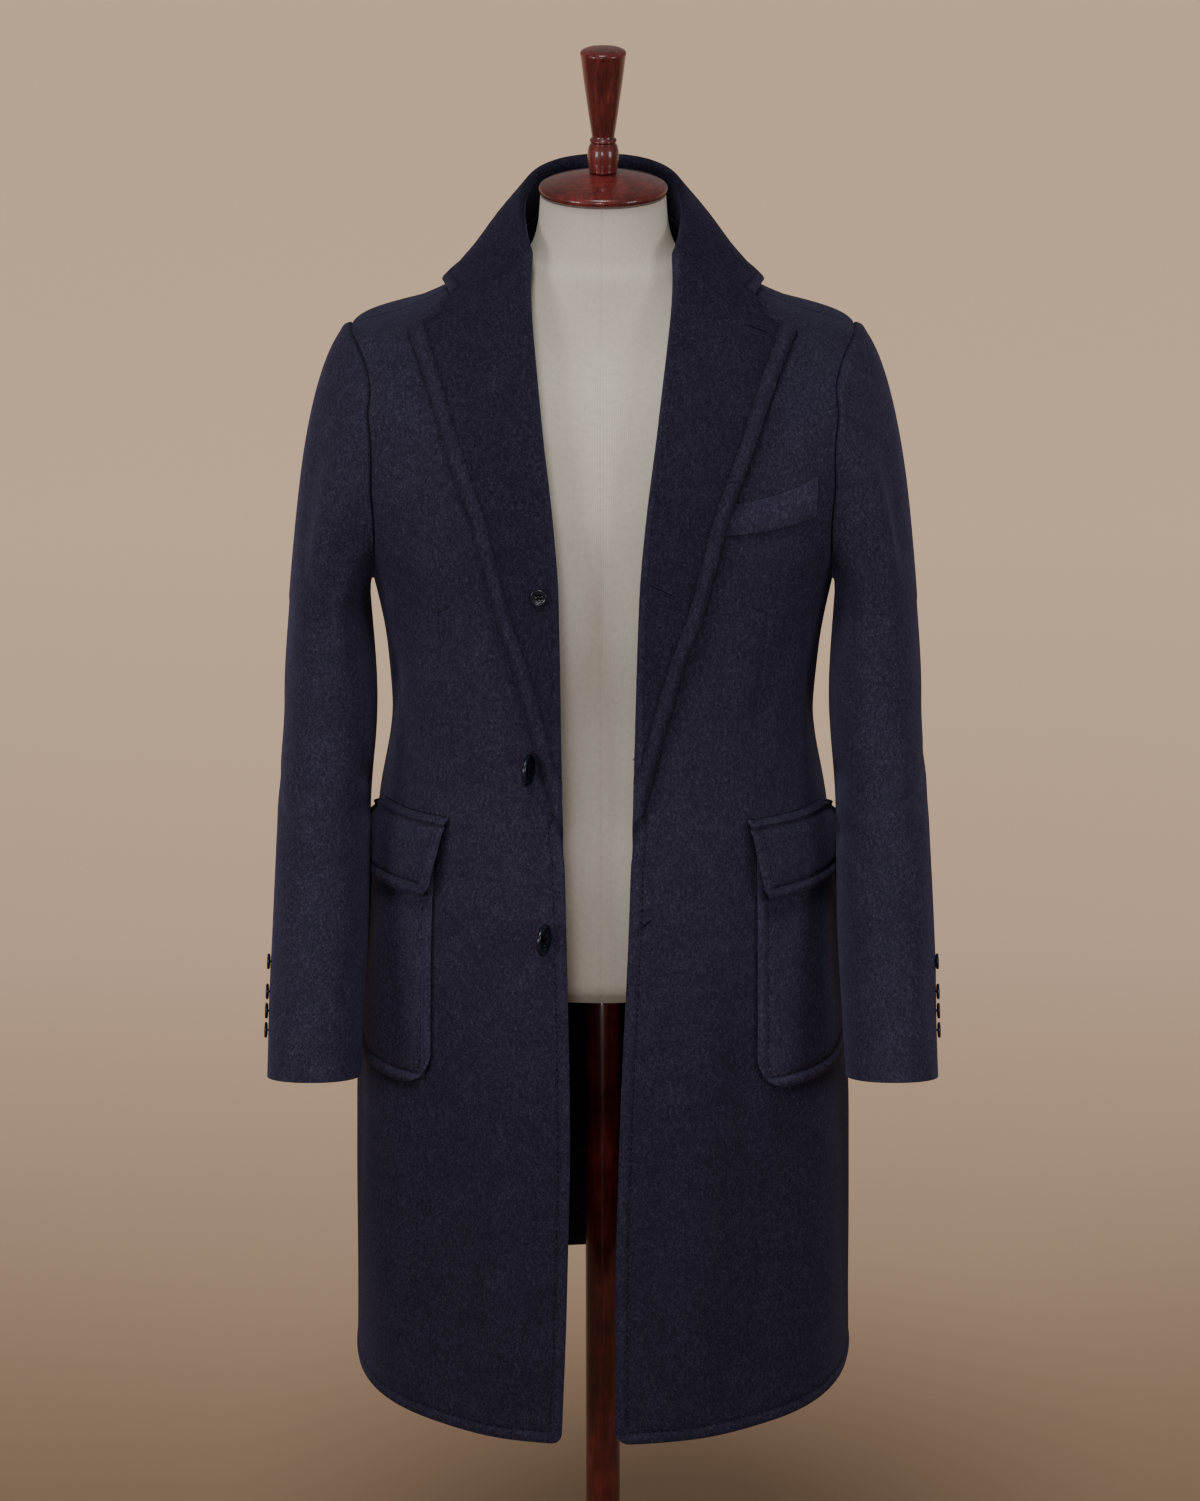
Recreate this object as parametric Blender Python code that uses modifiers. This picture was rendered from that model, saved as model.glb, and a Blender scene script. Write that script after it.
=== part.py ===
"""A wool overcoat, unbuttoned, resting on a limbless dress form with its stand."""
import math

import bmesh
import bpy
from mathutils import Vector

# Sizes in metres. X runs to the wearer's left, the front faces -Y, the floor is z = 0.
# A side is -1 for the wearer's right and +1 for the wearer's left.
# Turn is the angle round the body in degrees, 0 at centre front and 180 at centre back.
# Girth is the distance round the cloth from centre front, at one height.
CLOTH = 0.003
SEAM_GAP = 0.0003
HEM_Z = 0.407
HEM_SLOPE = 0.008
ARMPIT_Z = 1.165
SHOULDER_Z = 1.386
NECK_Z = 1.4595
NECK_BACK_RISE = 0.0185
BREAK_Z = 1.022

# The coat's horizontal sections: half width, depths, and how square the corners are.
SECTIONS = [
    # z, half, front, back, square
    (0.395, 0.2290, 0.183, 0.185, 2.10),
    (0.650, 0.2250, 0.177, 0.173, 2.15),
    (0.800, 0.2140, 0.170, 0.161, 2.20),
    (0.948, 0.1995, 0.160, 0.149, 2.25),
    (1.043, 0.1855, 0.152, 0.139, 2.30),
    (1.100, 0.1890, 0.149, 0.139, 2.35),
    (1.165, 0.2000, 0.145, 0.142, 2.45),
    (1.221, 0.2160, 0.139, 0.144, 2.80),
    (1.280, 0.2260, 0.129, 0.143, 3.20),
    (1.327, 0.2310, 0.115, 0.139, 3.20),
    (1.355, 0.2290, 0.102, 0.128, 2.80),
    (1.386, 0.2150, 0.088, 0.113, 2.30),
    (1.401, 0.1690, 0.082, 0.104, 2.20),
    (1.422, 0.1260, 0.076, 0.097, 2.15),
    (1.458, 0.0780, 0.062, 0.091, 2.15),
    (1.500, 0.0700, 0.055, 0.084, 2.20),
]

# The front edges, which become the roll lines of the lapels above the break.
FRONT_EDGES = [
    # z, wearer's right girth, wearer's left girth
    (0.395, 0.0377, 0.0110),
    (0.545, 0.0320, 0.0112),
    (0.707, 0.0290, 0.0145),
    (0.897, 0.0319, 0.0222),
    (1.046, 0.0352, 0.0262),
    (1.188, 0.0375, 0.0303),
    (1.255, 0.0424, 0.0360),
    (1.319, 0.0500, 0.0443),
    (1.380, 0.0564, 0.0522),
    (1.4595, 0.0640, 0.0620),
]

# The lapel's shape, from the break up to the gorge.
LAPEL = [
    # roll z, width, drop to the outer edge, share of the full roll
    (1.0220, 0.0120, 0.000, 0.35),
    (1.0550, 0.0185, 0.000, 0.60),
    (1.0900, 0.0265, 0.001, 0.90),
    (1.1300, 0.0370, 0.002, 1.00),
    (1.1750, 0.0515, 0.004, 1.00),
    (1.2150, 0.0590, 0.006, 1.00),
    (1.2600, 0.0660, 0.008, 1.00),
    (1.3000, 0.0740, 0.012, 1.00),
    (1.3350, 0.0810, 0.016, 1.00),
    (1.3600, 0.0855, 0.021, 1.00),
    (1.3860, 0.0895, 0.029, 1.00),
    (1.4100, 0.0930, 0.039, 1.00),
    (1.4389, 0.0990, 0.052, 1.00),
    (1.4595, 0.1080, 0.064, 1.00),
]

# Where the cloth turns over at the roll: its outer and its under sheet.
ROLL = [
    # across, out, under across, under out
    (0.0047, -0.0030, 0.0047, 0.0000),
    (0.0012, -0.0018, 0.0036, 0.0004),
    (0.0000, 0.0020, 0.0030, 0.0020),
    (0.0018, 0.0068, 0.0044, 0.0050),
    (0.0075, 0.0098, 0.0082, 0.0068),
]
# Beyond the roll, the turned cloth settles on the chest.
LEAF = [
    # share of width, out
    (0.25, 0.0093),
    (0.45, 0.0086),
    (0.67, 0.0076),
    (0.84, 0.0068),
    (1.00, 0.0060),
]
NOTCH_COLUMN = 7

# The collar's stations from the gorge to centre back.
COLLAR_STATIONS = [
    # place on the neckline, fold x, fold y, fold z, edge turn, edge z
    (-0.60, 0.0675, -0.0220, 1.4760, 94.0, 1.4170),
    (0.00, 0.0705, 0.0080, 1.4905, 105.0, 1.4220),
    (0.32, 0.0670, 0.0340, 1.5015, 117.0, 1.4280),
    (0.49, 0.0570, 0.0580, 1.5080, 131.0, 1.4330),
    (0.66, 0.0400, 0.0750, 1.5120, 147.0, 1.4365),
    (0.83, 0.0200, 0.0840, 1.5138, 163.0, 1.4380),
    (1.00, 0.0000, 0.0870, 1.5140, 180.0, 1.4385),
]
COLLAR_EDGE_OUT = 0.0072

# The armhole, an oval in side view.
ARMHOLE_FRONT = 0.094
ARMHOLE_BACK = 0.084
ARMHOLE_SQUARE = 2.2
ARMHOLE_HEIGHTS = [1.1650, 1.1720, 1.1900, 1.2200, 1.2600, 1.3000, 1.3350, 1.3600, 1.3760, 1.3860]
SLEEVE_GAP = 0.0005

# The hanging sleeve's sections below the armhole, square to its axis.
SLEEVE_SECTIONS = [
    # z, centre x, centre y, half width, half depth, lean, twist of the seams
    (0.745, 0.2535, -0.143, 0.0405, 0.0560, 18.0, 50.0),
    (0.860, 0.2477, -0.105, 0.0417, 0.0600, 19.0, 54.0),
    (0.976, 0.2435, -0.065, 0.0405, 0.0660, 17.0, 60.0),
    (1.060, 0.2375, -0.035, 0.0405, 0.0740, 10.0, 60.0),
    (1.150, 0.2380, -0.012, 0.0350, 0.0840, 0.0, 45.0),
]
SLEEVE_SQUARE = 2.15
CAP_STEPS = [0.0, 0.07, 0.18, 0.34, 0.56, 0.80]
ARM_HEIGHTS = [1.150, 1.100, 1.050, 0.995, 0.935, 0.875, 0.815, 0.775, 0.745]

PANEL_HEIGHTS = [0.407, 0.500, 0.600, 0.700, 0.790, 0.870, 0.935, 0.985]
PANEL_HEIGHTS += [1.014, BREAK_Z, 1.060, 1.110]
SHOULDER_SHARES = [0.22, 0.46, 0.72, 1.0]
FRONT_SHARES = [0.0, 0.03, 0.12, 0.24, 0.36, 0.46, 0.55, 0.64, 0.73, 0.82, 0.91, 1.0]
BACK_SHARES = [0.0, 0.15, 0.32, 0.49, 0.66, 0.83, 1.0]

BUTTON_RADIUS = 0.0140
BUTTON_THICK = 0.0042
SMALL_RADIUS = 0.0070
SMALL_THICK = 0.0030
SLEEVE_BUTTON_HEIGHTS = [0.784, 0.800, 0.816, 0.841]

FORM_BOTTOM_Z = 0.800
CAP_RADIUS = 0.055
CAP_Z = 1.5000
POLE_RADIUS = 0.016
BASE_RADIUS = 0.185
BASE_THICK = 0.026

COLORS = {
    "wool": (0.020, 0.018, 0.035, 1.0),
    "horn": (0.010, 0.012, 0.020, 1.0),
    "linen": (0.78, 0.74, 0.66, 1.0),
    "mahogany": (0.13, 0.028, 0.014, 1.0),
}
ROUGHNESS = {"wool": 0.90, "horn": 0.25, "linen": 0.85, "mahogany": 0.20}


def clear_scene():
    for thing in list(bpy.data.objects):
        bpy.data.objects.remove(thing, do_unlink=True)


def make_material(name, slot):
    material = bpy.data.materials.new(name)
    material.use_nodes = True
    shader = material.node_tree.nodes["Principled BSDF"]
    shader.inputs["Base Color"].default_value = COLORS[slot]
    shader.inputs["Roughness"].default_value = ROUGHNESS[slot]
    shader.inputs["Metallic"].default_value = 0.0
    return material


def finish(mesh, name, slot, collection):
    """Turn a bmesh into a named object with its own material."""
    bmesh.ops.recalc_face_normals(mesh, faces=mesh.faces[:])
    if mesh.calc_volume(signed=True) < 0:
        bmesh.ops.reverse_faces(mesh, faces=mesh.faces[:])
    data = bpy.data.meshes.new(name)
    mesh.to_mesh(data)
    mesh.free()
    data.shade_smooth()
    data.set_sharp_from_angle(angle=math.radians(40))
    thing = bpy.data.objects.new(name, data)
    data.materials.append(make_material(name, slot))
    collection.objects.link(thing)
    return thing


def between(table, place, column):
    """Read a table's column at a place, on a smooth curve that never overshoots."""
    places = [row[0] for row in table]
    values = [row[column] for row in table]
    place = min(max(place, places[0]), places[-1])
    index = 0
    while index < len(places) - 2 and place > places[index + 1]:
        index += 1

    def slope(knot):
        if knot in (0, len(places) - 1):
            end = max(knot, 1)
            return (values[end] - values[end - 1]) / (places[end] - places[end - 1])
        before = (values[knot] - values[knot - 1]) / (places[knot] - places[knot - 1])
        after = (values[knot + 1] - values[knot]) / (places[knot + 1] - places[knot])
        if before * after <= 0:
            return 0.0
        return 2 * before * after / (before + after)

    step = places[index + 1] - places[index]
    t = (place - places[index]) / step
    rise = (1 + 2 * t) * (1 - t) ** 2 * values[index] + t * t * (3 - 2 * t) * values[index + 1]
    bend = t * (1 - t) ** 2 * step * slope(index) + t * t * (t - 1) * step * slope(index + 1)
    return rise + bend


def body(turn, z):
    """A point of the coat's outer surface on the wearer's left."""
    half, front, back, square = (between(SECTIONS, z, column) for column in (1, 2, 3, 4))
    angle = math.radians(turn)
    sine, cosine = abs(math.sin(angle)), math.cos(angle)
    depth = front if cosine >= 0 else back
    y = -math.copysign(depth * abs(cosine) ** (2 / square), cosine)
    return Vector((half * sine ** (2 / square), y, z))


def body_normal(turn, z):
    low_turn, high_turn = max(turn - 0.5, 0.0), min(turn + 0.5, 180.0)
    across = body(high_turn, z) - body(low_turn, z)
    upward = body(turn, z + 0.0015) - body(turn, z - 0.0015)
    return across.cross(upward).normalized()


CONTOUR_STEPS = 90
contours = {}


def contour(z):
    """Lengths along the section at this height, one for each two degrees of turn."""
    key = round(z, 6)
    if key not in contours:
        lengths = [0.0]
        last = body(0.0, z)
        for step in range(1, CONTOUR_STEPS + 1):
            point = body(180.0 * step / CONTOUR_STEPS, z)
            lengths.append(lengths[-1] + (point - last).length)
            last = point
        contours[key] = lengths
    return contours[key]


def girth_at(turn, z):
    lengths = contour(z)
    place = turn / 180.0 * CONTOUR_STEPS
    index = min(int(place), CONTOUR_STEPS - 1)
    return lengths[index] + (place - index) * (lengths[index + 1] - lengths[index])


def turn_at(girth, z):
    lengths = contour(z)
    index = 0
    while index < CONTOUR_STEPS - 1 and girth > lengths[index + 1]:
        index += 1
    share = (girth - lengths[index]) / (lengths[index + 1] - lengths[index])
    return (index + share) * 180.0 / CONTOUR_STEPS


def skin(side, girth, z, out=0.0):
    """A point of the coat's surface by girth and height, moved out of the cloth."""
    turn = turn_at(girth, z)
    point = body(turn, z) + body_normal(turn, z) * out
    return Vector((side * point.x, point.y, point.z))


def armhole_depth(z, back):
    middle = (SHOULDER_Z + ARMPIT_Z) / 2
    reach = (SHOULDER_Z - ARMPIT_Z) / 2
    share = min(abs(z - middle) / reach, 1.0)
    depth = ARMHOLE_BACK if back else ARMHOLE_FRONT
    return depth * (1 - share ** ARMHOLE_SQUARE) ** (1 / ARMHOLE_SQUARE)


def seam_turn(z, back):
    """The turn of a panel's outer border: side seam, armhole, then shoulder seam."""
    if z <= ARMPIT_Z or z >= SHOULDER_Z:
        return 90.0
    y = armhole_depth(z, back)
    depth = between(SECTIONS, z, 3 if back else 2)
    square = between(SECTIONS, z, 4)
    turn = math.degrees(math.acos((y / depth) ** (square / 2)))
    return 180.0 - turn if back else turn


def edge_girth(side, z):
    return between(FRONT_EDGES, z, 1 if side < 0 else 2)


def neck_height(share):
    """The neckline's height, from the shoulder seam (0) to centre back (1)."""
    share = max(share, 0.0)
    return NECK_Z + NECK_BACK_RISE * share * share * (3 - 2 * share)


def shell(name, columns, rows, place, collection):
    """A cloth wall: a grid extruded once, its two sheets put where place() says."""
    mesh = bmesh.new()
    bmesh.ops.create_grid(mesh, x_segments=columns, y_segments=rows, size=1.0)
    extruded = bmesh.ops.extrude_face_region(mesh, geom=mesh.faces[:])
    under = {item for item in extruded["geom"] if isinstance(item, bmesh.types.BMVert)}
    for vertex in mesh.verts:
        column = round((vertex.co.x + 1) / 2 * columns)
        row = round((vertex.co.y + 1) / 2 * rows)
        vertex.co = place(column, row, vertex in under)
    return finish(mesh, name, "wool", collection)


PANEL_ROWS = len(PANEL_HEIGHTS) + len(ARMHOLE_HEIGHTS) + len(SHOULDER_SHARES)


def panel_row_height(row, share_back):
    """The height of a body panel's row; only the back's rows rise to the nape."""
    heights = PANEL_HEIGHTS + ARMHOLE_HEIGHTS
    if row < len(heights):
        return heights[row]
    share = SHOULDER_SHARES[row - len(heights)]
    return SHOULDER_Z + share * (neck_height(share_back) - SHOULDER_Z)


def hem_shift(point, row, corner):
    """The hem runs a little lower in front, and the front corner is eased up."""
    fade = max(0.0, 1.0 - row / 2.0)
    slope = HEM_SLOPE * point.y / 0.185
    lift = 0.006 if corner and row == 0 else 0.0
    return Vector((0, 0, fade * slope + lift))


def front_girth(side, share, z):
    """The girth of a front panel's line, from its edge or roll (0) to its seam (1)."""
    start = edge_girth(side, z)
    if z >= BREAK_Z:
        start += ROLL[0][0] + SEAM_GAP
    end = girth_at(seam_turn(z, False), z) - SEAM_GAP / 2
    return start + share * (end - start)


def front_panel(side, name, collection):
    def place(column, row, under):
        z = panel_row_height(row, 0.0)
        girth = front_girth(side, FRONT_SHARES[column], z)
        point = skin(side, girth, z, -CLOTH if under else 0.0)
        return point + hem_shift(point, row, column == 0)

    return shell(name, len(FRONT_SHARES) - 1, PANEL_ROWS - 1, place, collection)


def back_panel(side, name, collection):
    def place(column, row, under):
        share = BACK_SHARES[column]
        z = panel_row_height(row, share)
        start = girth_at(seam_turn(z, True), z) + SEAM_GAP / 2
        end = contour(z)[-1] - SEAM_GAP / 2
        point = skin(side, start + share * (end - start), z, -CLOTH if under else 0.0)
        return point + hem_shift(point, row, False)

    return shell(name, len(BACK_SHARES) - 1, PANEL_ROWS - 1, place, collection)


def lapel_heights():
    """The front panel's own rows from the break up, so that the two meet along the roll."""
    rows = range(PANEL_HEIGHTS.index(BREAK_Z), PANEL_ROWS)
    return [panel_row_height(row, 0.0) for row in rows]


def lapel_place(side, column, row, under):
    """A point of a lapel: the roll's columns, then the leaf's."""
    roll_z = lapel_heights()[row]
    width, drop, fullness = (between(LAPEL, roll_z, place) for place in (1, 2, 3))
    if column < len(ROLL):
        across, out, across_under, out_under = ROLL[column]
        if under:
            across, out = across_under, out_under
        swell = max(out, 0.0) * fullness + min(out, 0.0)
    else:
        share, out = LEAF[column - len(ROLL)]
        across = ROLL[-1][0] + share * (width - ROLL[-1][0])
        swell = LEAF[-1][1] + (out - LEAF[-1][1]) * fullness
        if under:
            swell -= CLOTH
    past_roll = max(across - ROLL[-1][0], 0.0) / (width - ROLL[-1][0])
    girth = edge_girth(side, roll_z) + across
    return skin(side, girth, roll_z - drop * past_roll, swell)


def lapel(side, name, collection):
    columns = len(ROLL) + len(LEAF) - 1

    def place(column, row, under):
        return lapel_place(side, column, row, under)

    return shell(name, columns, len(lapel_heights()) - 1, place, collection)


def neck_point(share, out):
    """A point of the neckline: -1 at the roll, 0 at the shoulder seam, 1 at the nape."""
    z = neck_height(share)
    seam = girth_at(90.0, z)
    if share < 0:
        start = edge_girth(1, z) + ROLL[0][0]
        girth = seam + share * (seam - start)
    else:
        girth = seam + share * (contour(z)[-1] - seam)
    return skin(1, girth, z, out)


def collar_station(station):
    """Outer and under points across the collar at one station, wearer's left."""
    neck, fold_x, fold_y, fold_z, edge_turn, edge_z = COLLAR_STATIONS[station]
    fold = Vector((fold_x, fold_y, fold_z))
    outward = Vector((fold_x, fold_y - 0.005, 0.0)).normalized()
    rise = Vector((0, 0, SEAM_GAP * 1.5))
    up = Vector((0, 0, 1))
    seat_in = neck_point(neck, -CLOTH) + rise
    seat_out = neck_point(neck, 0.0) + rise
    upper = fold - outward * 0.0042 - up * 0.0050
    upper_under = fold - outward * 0.0013 - up * 0.0056
    normal = body_normal(edge_turn, edge_z)
    edge = body(edge_turn, edge_z) + normal * COLLAR_EDGE_OUT
    start = fold + outward * 0.0045 - up * 0.0036
    chord = edge - start
    flat = Vector((chord.y, -chord.x, 0.0))
    lift = flat.cross(chord).normalized()
    if lift.z < 0:
        lift.negate()
    middle = start + chord * 0.36 + lift * 0.0045
    lower = start + chord * 0.70 + lift * 0.0030
    outer = [seat_in, (seat_in + upper) / 2, upper, fold, start, middle, lower, edge]
    below = [
        seat_out,
        (seat_out + upper_under) / 2,
        upper_under,
        fold - up * CLOTH,
        start - outward * 0.0022 - up * 0.0020,
        middle - lift * CLOTH,
        lower - lift * CLOTH,
        edge - normal * CLOTH,
    ]
    return outer, below


def collar(name, collection):
    last = len(COLLAR_STATIONS)
    top_row = len(lapel_heights()) - 1
    sections = [collar_station(station) for station in range(last)]

    def place(column, row, under):
        side = 1 if column > last else -1
        station = abs(column - last)
        if station == last:
            point = lapel_place(side, row, top_row, under)
            step = lapel_place(side, row, top_row - 1, under)
            return point + (point - step).normalized() * SEAM_GAP * 3
        point = sections[last - 1 - station][1 if under else 0][row]
        return Vector((side * point.x, point.y, point.z))

    return shell(name, 2 * last, NOTCH_COLUMN, place, collection)


def armhole_point(around):
    """A point of the armhole on the wearer's left: 0 at the shoulder, 90 at the front."""
    angle = math.radians(around)
    power = 2 / ARMHOLE_SQUARE
    middle = (SHOULDER_Z + ARMPIT_Z) / 2
    reach = (SHOULDER_Z - ARMPIT_Z) / 2
    z = middle + math.copysign(reach * abs(math.cos(angle)) ** power, math.cos(angle))
    depth = ARMHOLE_FRONT if math.sin(angle) >= 0 else ARMHOLE_BACK
    y = -math.copysign(depth * abs(math.sin(angle)) ** power, math.sin(angle))
    limit = between(SECTIONS, z, 2 if y < 0 else 3)
    square = between(SECTIONS, z, 4)
    x = between(SECTIONS, z, 1) * (1 - (abs(y) / limit) ** square) ** (1 / square)
    return Vector((x, y, z))


def arm_point(around, z):
    """A point of the hanging sleeve on the wearer's left, by the height of its axis."""
    x, y, half, depth, lean = (between(SLEEVE_SECTIONS, z, column) for column in range(1, 6))
    angle = math.radians(around)
    power = 2 / SLEEVE_SQUARE
    wide = math.copysign(abs(math.cos(angle)) ** power, math.cos(angle)) * half
    deep = math.copysign(abs(math.sin(angle)) ** power, math.sin(angle)) * depth
    tilt = math.radians(lean)
    return Vector((x + wide, y - deep * math.cos(tilt), z + deep * math.sin(tilt)))


def sleeve_surface(around, along):
    """Along is 0 at the armhole and 1 where the cap ends; past 1 it adds height lost."""
    top = SLEEVE_SECTIONS[-1][0]
    if along >= 1.0:
        return arm_point(around, top - (along - 1.0))
    angle = math.radians(around)
    start = armhole_point(around) + Vector((SLEEVE_GAP, 0, 0))
    end = arm_point(around, top)
    lean_out = Vector((0.012 + 0.010 * math.cos(angle), -0.006 * math.sin(angle), -0.012))
    reach_up = 0.66 * max(start.z - end.z, 0.0)
    first = start + lean_out * (0.25 + 0.75 * (1 + math.cos(angle)) / 2)
    second = end + Vector((-0.006 - 0.006 * math.cos(angle), 0, reach_up))
    t, s = along, 1.0 - along
    return start * s ** 3 + first * 3 * s * s * t + second * 3 * s * t * t + end * t ** 3


def sleeve_point(side, around, along, out):
    point = sleeve_surface(around, along)
    if out:
        low = max(along - 0.004, 0.0)
        down = sleeve_surface(around, along + 0.004) - sleeve_surface(around, low)
        turned = sleeve_surface(around + 0.5, along) - sleeve_surface(around - 0.5, along)
        point = point + turned.cross(down).normalized() * out
    return Vector((side * point.x, point.y, point.z))


def seam_twist(along):
    """How far the sleeve's seams have turned forward from the armhole to here."""
    top = SLEEVE_SECTIONS[-1][0]
    if along >= 1.0:
        return between(SLEEVE_SECTIONS, top - (along - 1.0), 6)
    return SLEEVE_SECTIONS[-1][6] * along * along * (3 - 2 * along)


def armhole_lanes():
    """The angles round the armhole that meet the body panels' rows."""
    middle = (SHOULDER_Z + ARMPIT_Z) / 2
    reach = (SHOULDER_Z - ARMPIT_Z) / 2
    lanes = []
    for z in reversed(ARMHOLE_HEIGHTS):
        share = (z - middle) / reach
        cosine = math.copysign(min(abs(share), 1.0) ** (ARMHOLE_SQUARE / 2), share)
        lanes.append(math.degrees(math.acos(cosine)))
    return lanes


def sleeve_piece(side, name, lanes, collection):
    """A sleeve piece between its two long seams, from the armhole to the cuff."""
    top = SLEEVE_SECTIONS[-1][0]
    alongs = CAP_STEPS + [1.0 + top - z for z in ARM_HEIGHTS]

    def place(column, row, under):
        along = alongs[row]
        around = lanes[column] + seam_twist(along)
        nudge = math.degrees(SEAM_GAP / 2 / 0.042)
        if column == 0:
            around += nudge
        if column == len(lanes) - 1:
            around -= nudge
        return sleeve_point(side, around, along, -CLOTH if under else 0.0)

    return shell(name, len(lanes) - 1, len(alongs) - 1, place, collection)


def sleeves(side, word, collection):
    front = armhole_lanes()
    back = [-angle for angle in reversed(front[1:-1])]
    back_seam, front_seam = 3, 7
    top = back[-back_seam:] + front[: front_seam + 1]
    under = front[front_seam:] + [angle + 360 for angle in back[: len(back) - back_seam + 1]]
    sleeve_piece(side, "top_sleeve_" + word, top, collection)
    sleeve_piece(side, "under_sleeve_" + word, under, collection)


POCKET_TOP = 0.958
POCKET_BOTTOM = 0.728
POCKET_ROUND = 0.034
POCKET_THICK = 0.0025
POCKET_OUTER_SHARE = 0.955
FLAP_OUTER_SHARE = 0.975
# The panel's lines that cross a pocket, so that what lies on the panel bends with it.
CROSSING_SHARES = FRONT_SHARES[6:-1]
POCKET_SIDES = {
    # side: inner girth at the top, at the bottom
    -1: (0.1530, 0.1590),
    1: (0.1370, 0.1400),
}
FLAP_SIDES = {
    # side: inner girth at the top, at the bottom
    -1: (0.1390, 0.1520),
    1: (0.1280, 0.1380),
}
FLAP_ROWS = [
    # share of height, out
    (0.00, 0.0086),
    (0.12, 0.0080),
    (0.36, 0.0074),
    (0.68, 0.0066),
    (0.86, 0.0064),
    (1.00, 0.0035),
]
FLAP_THICK = 0.0026


def pocket_girths(side, inner, outer_share, z):
    """Girths across a patch at one height: its borders, corners and the panel's lines."""
    outer = front_girth(side, outer_share, z)
    lines = [front_girth(side, share, z) for share in CROSSING_SHARES]
    return [inner, inner + 0.005, inner + 0.015] + lines + [outer]


def pocket(side, name, collection):
    inner_top, inner_low = POCKET_SIDES[side]
    rows = [POCKET_BOTTOM, 0.790, 0.870, 0.935, POCKET_TOP]
    columns = len(pocket_girths(side, inner_top, POCKET_OUTER_SHARE, POCKET_TOP))

    def place(column, row, under):
        z = rows[row]
        share = (z - POCKET_BOTTOM) / (POCKET_TOP - POCKET_BOTTOM)
        inner = inner_low + share * (inner_top - inner_low)
        girths = pocket_girths(side, inner, POCKET_OUTER_SHARE, z)
        girth = girths[column]
        if row == 0:
            near = min(girth - girths[0], girths[-1] - girth)
            short = max(0.0, 1 - near / POCKET_ROUND)
            z += POCKET_ROUND * (1 - math.sqrt(1 - 0.92 * short * short))
        return skin(side, girth, z, SEAM_GAP if under else SEAM_GAP + POCKET_THICK)

    return shell(name, columns - 1, len(rows) - 1, place, collection)


def flap(side, name, collection):
    inner_top, inner_low = FLAP_SIDES[side]
    columns = len(pocket_girths(side, inner_top, FLAP_OUTER_SHARE, POCKET_TOP))

    def place(column, row, under):
        share, out = FLAP_ROWS[row]
        start = inner_low + (inner_top - inner_low) * share
        middle_z = 0.905 + share * 0.070
        girth = pocket_girths(side, start, FLAP_OUTER_SHARE, middle_z)[column]
        top = 0.981 - 0.10 * (girth - inner_top)
        bottom = 0.9085 - 0.05 * (girth - inner_top)
        if column in (0, columns - 1):
            bottom += 0.007
        z = bottom + share * (top - bottom)
        return skin(side, girth, z, out - FLAP_THICK if under else out)

    return shell(name, columns - 1, len(FLAP_ROWS) - 1, place, collection)


WELT = {"start": 0.098, "end": 0.1835, "top": 1.2665, "bottom": 1.2395, "thick": 0.0019}


def chest_welt(name, collection):
    columns = 6

    def place(column, row, under):
        share = column / columns
        girth = WELT["start"] + share * (WELT["end"] - WELT["start"])
        top = WELT["top"] + 0.0170 * share ** 2.2
        bottom = WELT["bottom"] + 0.0090 * share ** 2.2
        z = bottom + row / 2 * (top - bottom)
        return skin(1, girth, z, SEAM_GAP if under else SEAM_GAP + WELT["thick"])

    return shell(name, columns, 2, place, collection)


def turned(name, profile, steps, slot, collection):
    """A profile of (radius, z), top to bottom down its outer side, spun round Z."""
    data = bpy.data.meshes.new(name)
    points = [(radius, 0.0, z) for radius, z in profile]
    data.from_pydata(points, [(k, k + 1) for k in range(len(points) - 1)], [])
    thing = bpy.data.objects.new(name, data)
    collection.objects.link(thing)
    spin = thing.modifiers.new("turn", "SCREW")
    spin.steps = steps
    spin.render_steps = steps
    spin.use_merge_vertices = True
    spin.merge_threshold = 0.0001
    spin.use_smooth_shade = True
    data.materials.append(make_material(name, slot))
    return thing


def button_profile(radius, thick):
    """A dished button with a raised rim, top to bottom."""
    rim = radius * 0.80
    half = thick / 2
    return [
        (0.0, half * 0.30),
        (rim * 0.72, half * 0.36),
        (rim, half),
        (radius * 0.94, half * 0.86),
        (radius, half * 0.20),
        (radius * 0.90, -half * 0.62),
        (radius * 0.45, -half),
        (0.0, -half),
    ]


def button(name, radius, thick, centre, facing, steps, collection):
    thing = turned(name, button_profile(radius, thick), steps, "horn", collection)
    thing.rotation_mode = "QUATERNION"
    thing.rotation_quaternion = facing.to_track_quat("Z", "Y")
    thing.location = centre
    return thing


def flat_button(name, side, girth, z, radius, thick, out, collection):
    turn = turn_at(girth, z)
    normal = body_normal(turn, z)
    normal.x *= side
    centre = skin(side, girth, z, out + thick / 2)
    return button(name, radius, thick, centre, normal, 20, collection)


def turned_button(name, girth, z, tilt, collection):
    """A button of the wearer's right front that has swung round on its thread shank."""
    turn = turn_at(girth, z)
    normal = body_normal(turn, z)
    normal.x = -normal.x
    inward = normal.cross(Vector((0, 0, -1))).normalized()
    if inward.x < 0:
        inward.negate()
    angle = math.radians(tilt)
    facing = normal * math.cos(angle) + inward * math.sin(angle)
    out = BUTTON_RADIUS * math.sin(angle) + BUTTON_THICK * 0.5 * math.cos(angle) + 0.0012
    centre = skin(-1, girth, z, out)
    return button(name, BUTTON_RADIUS, BUTTON_THICK, centre, facing, 24, collection)


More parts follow.
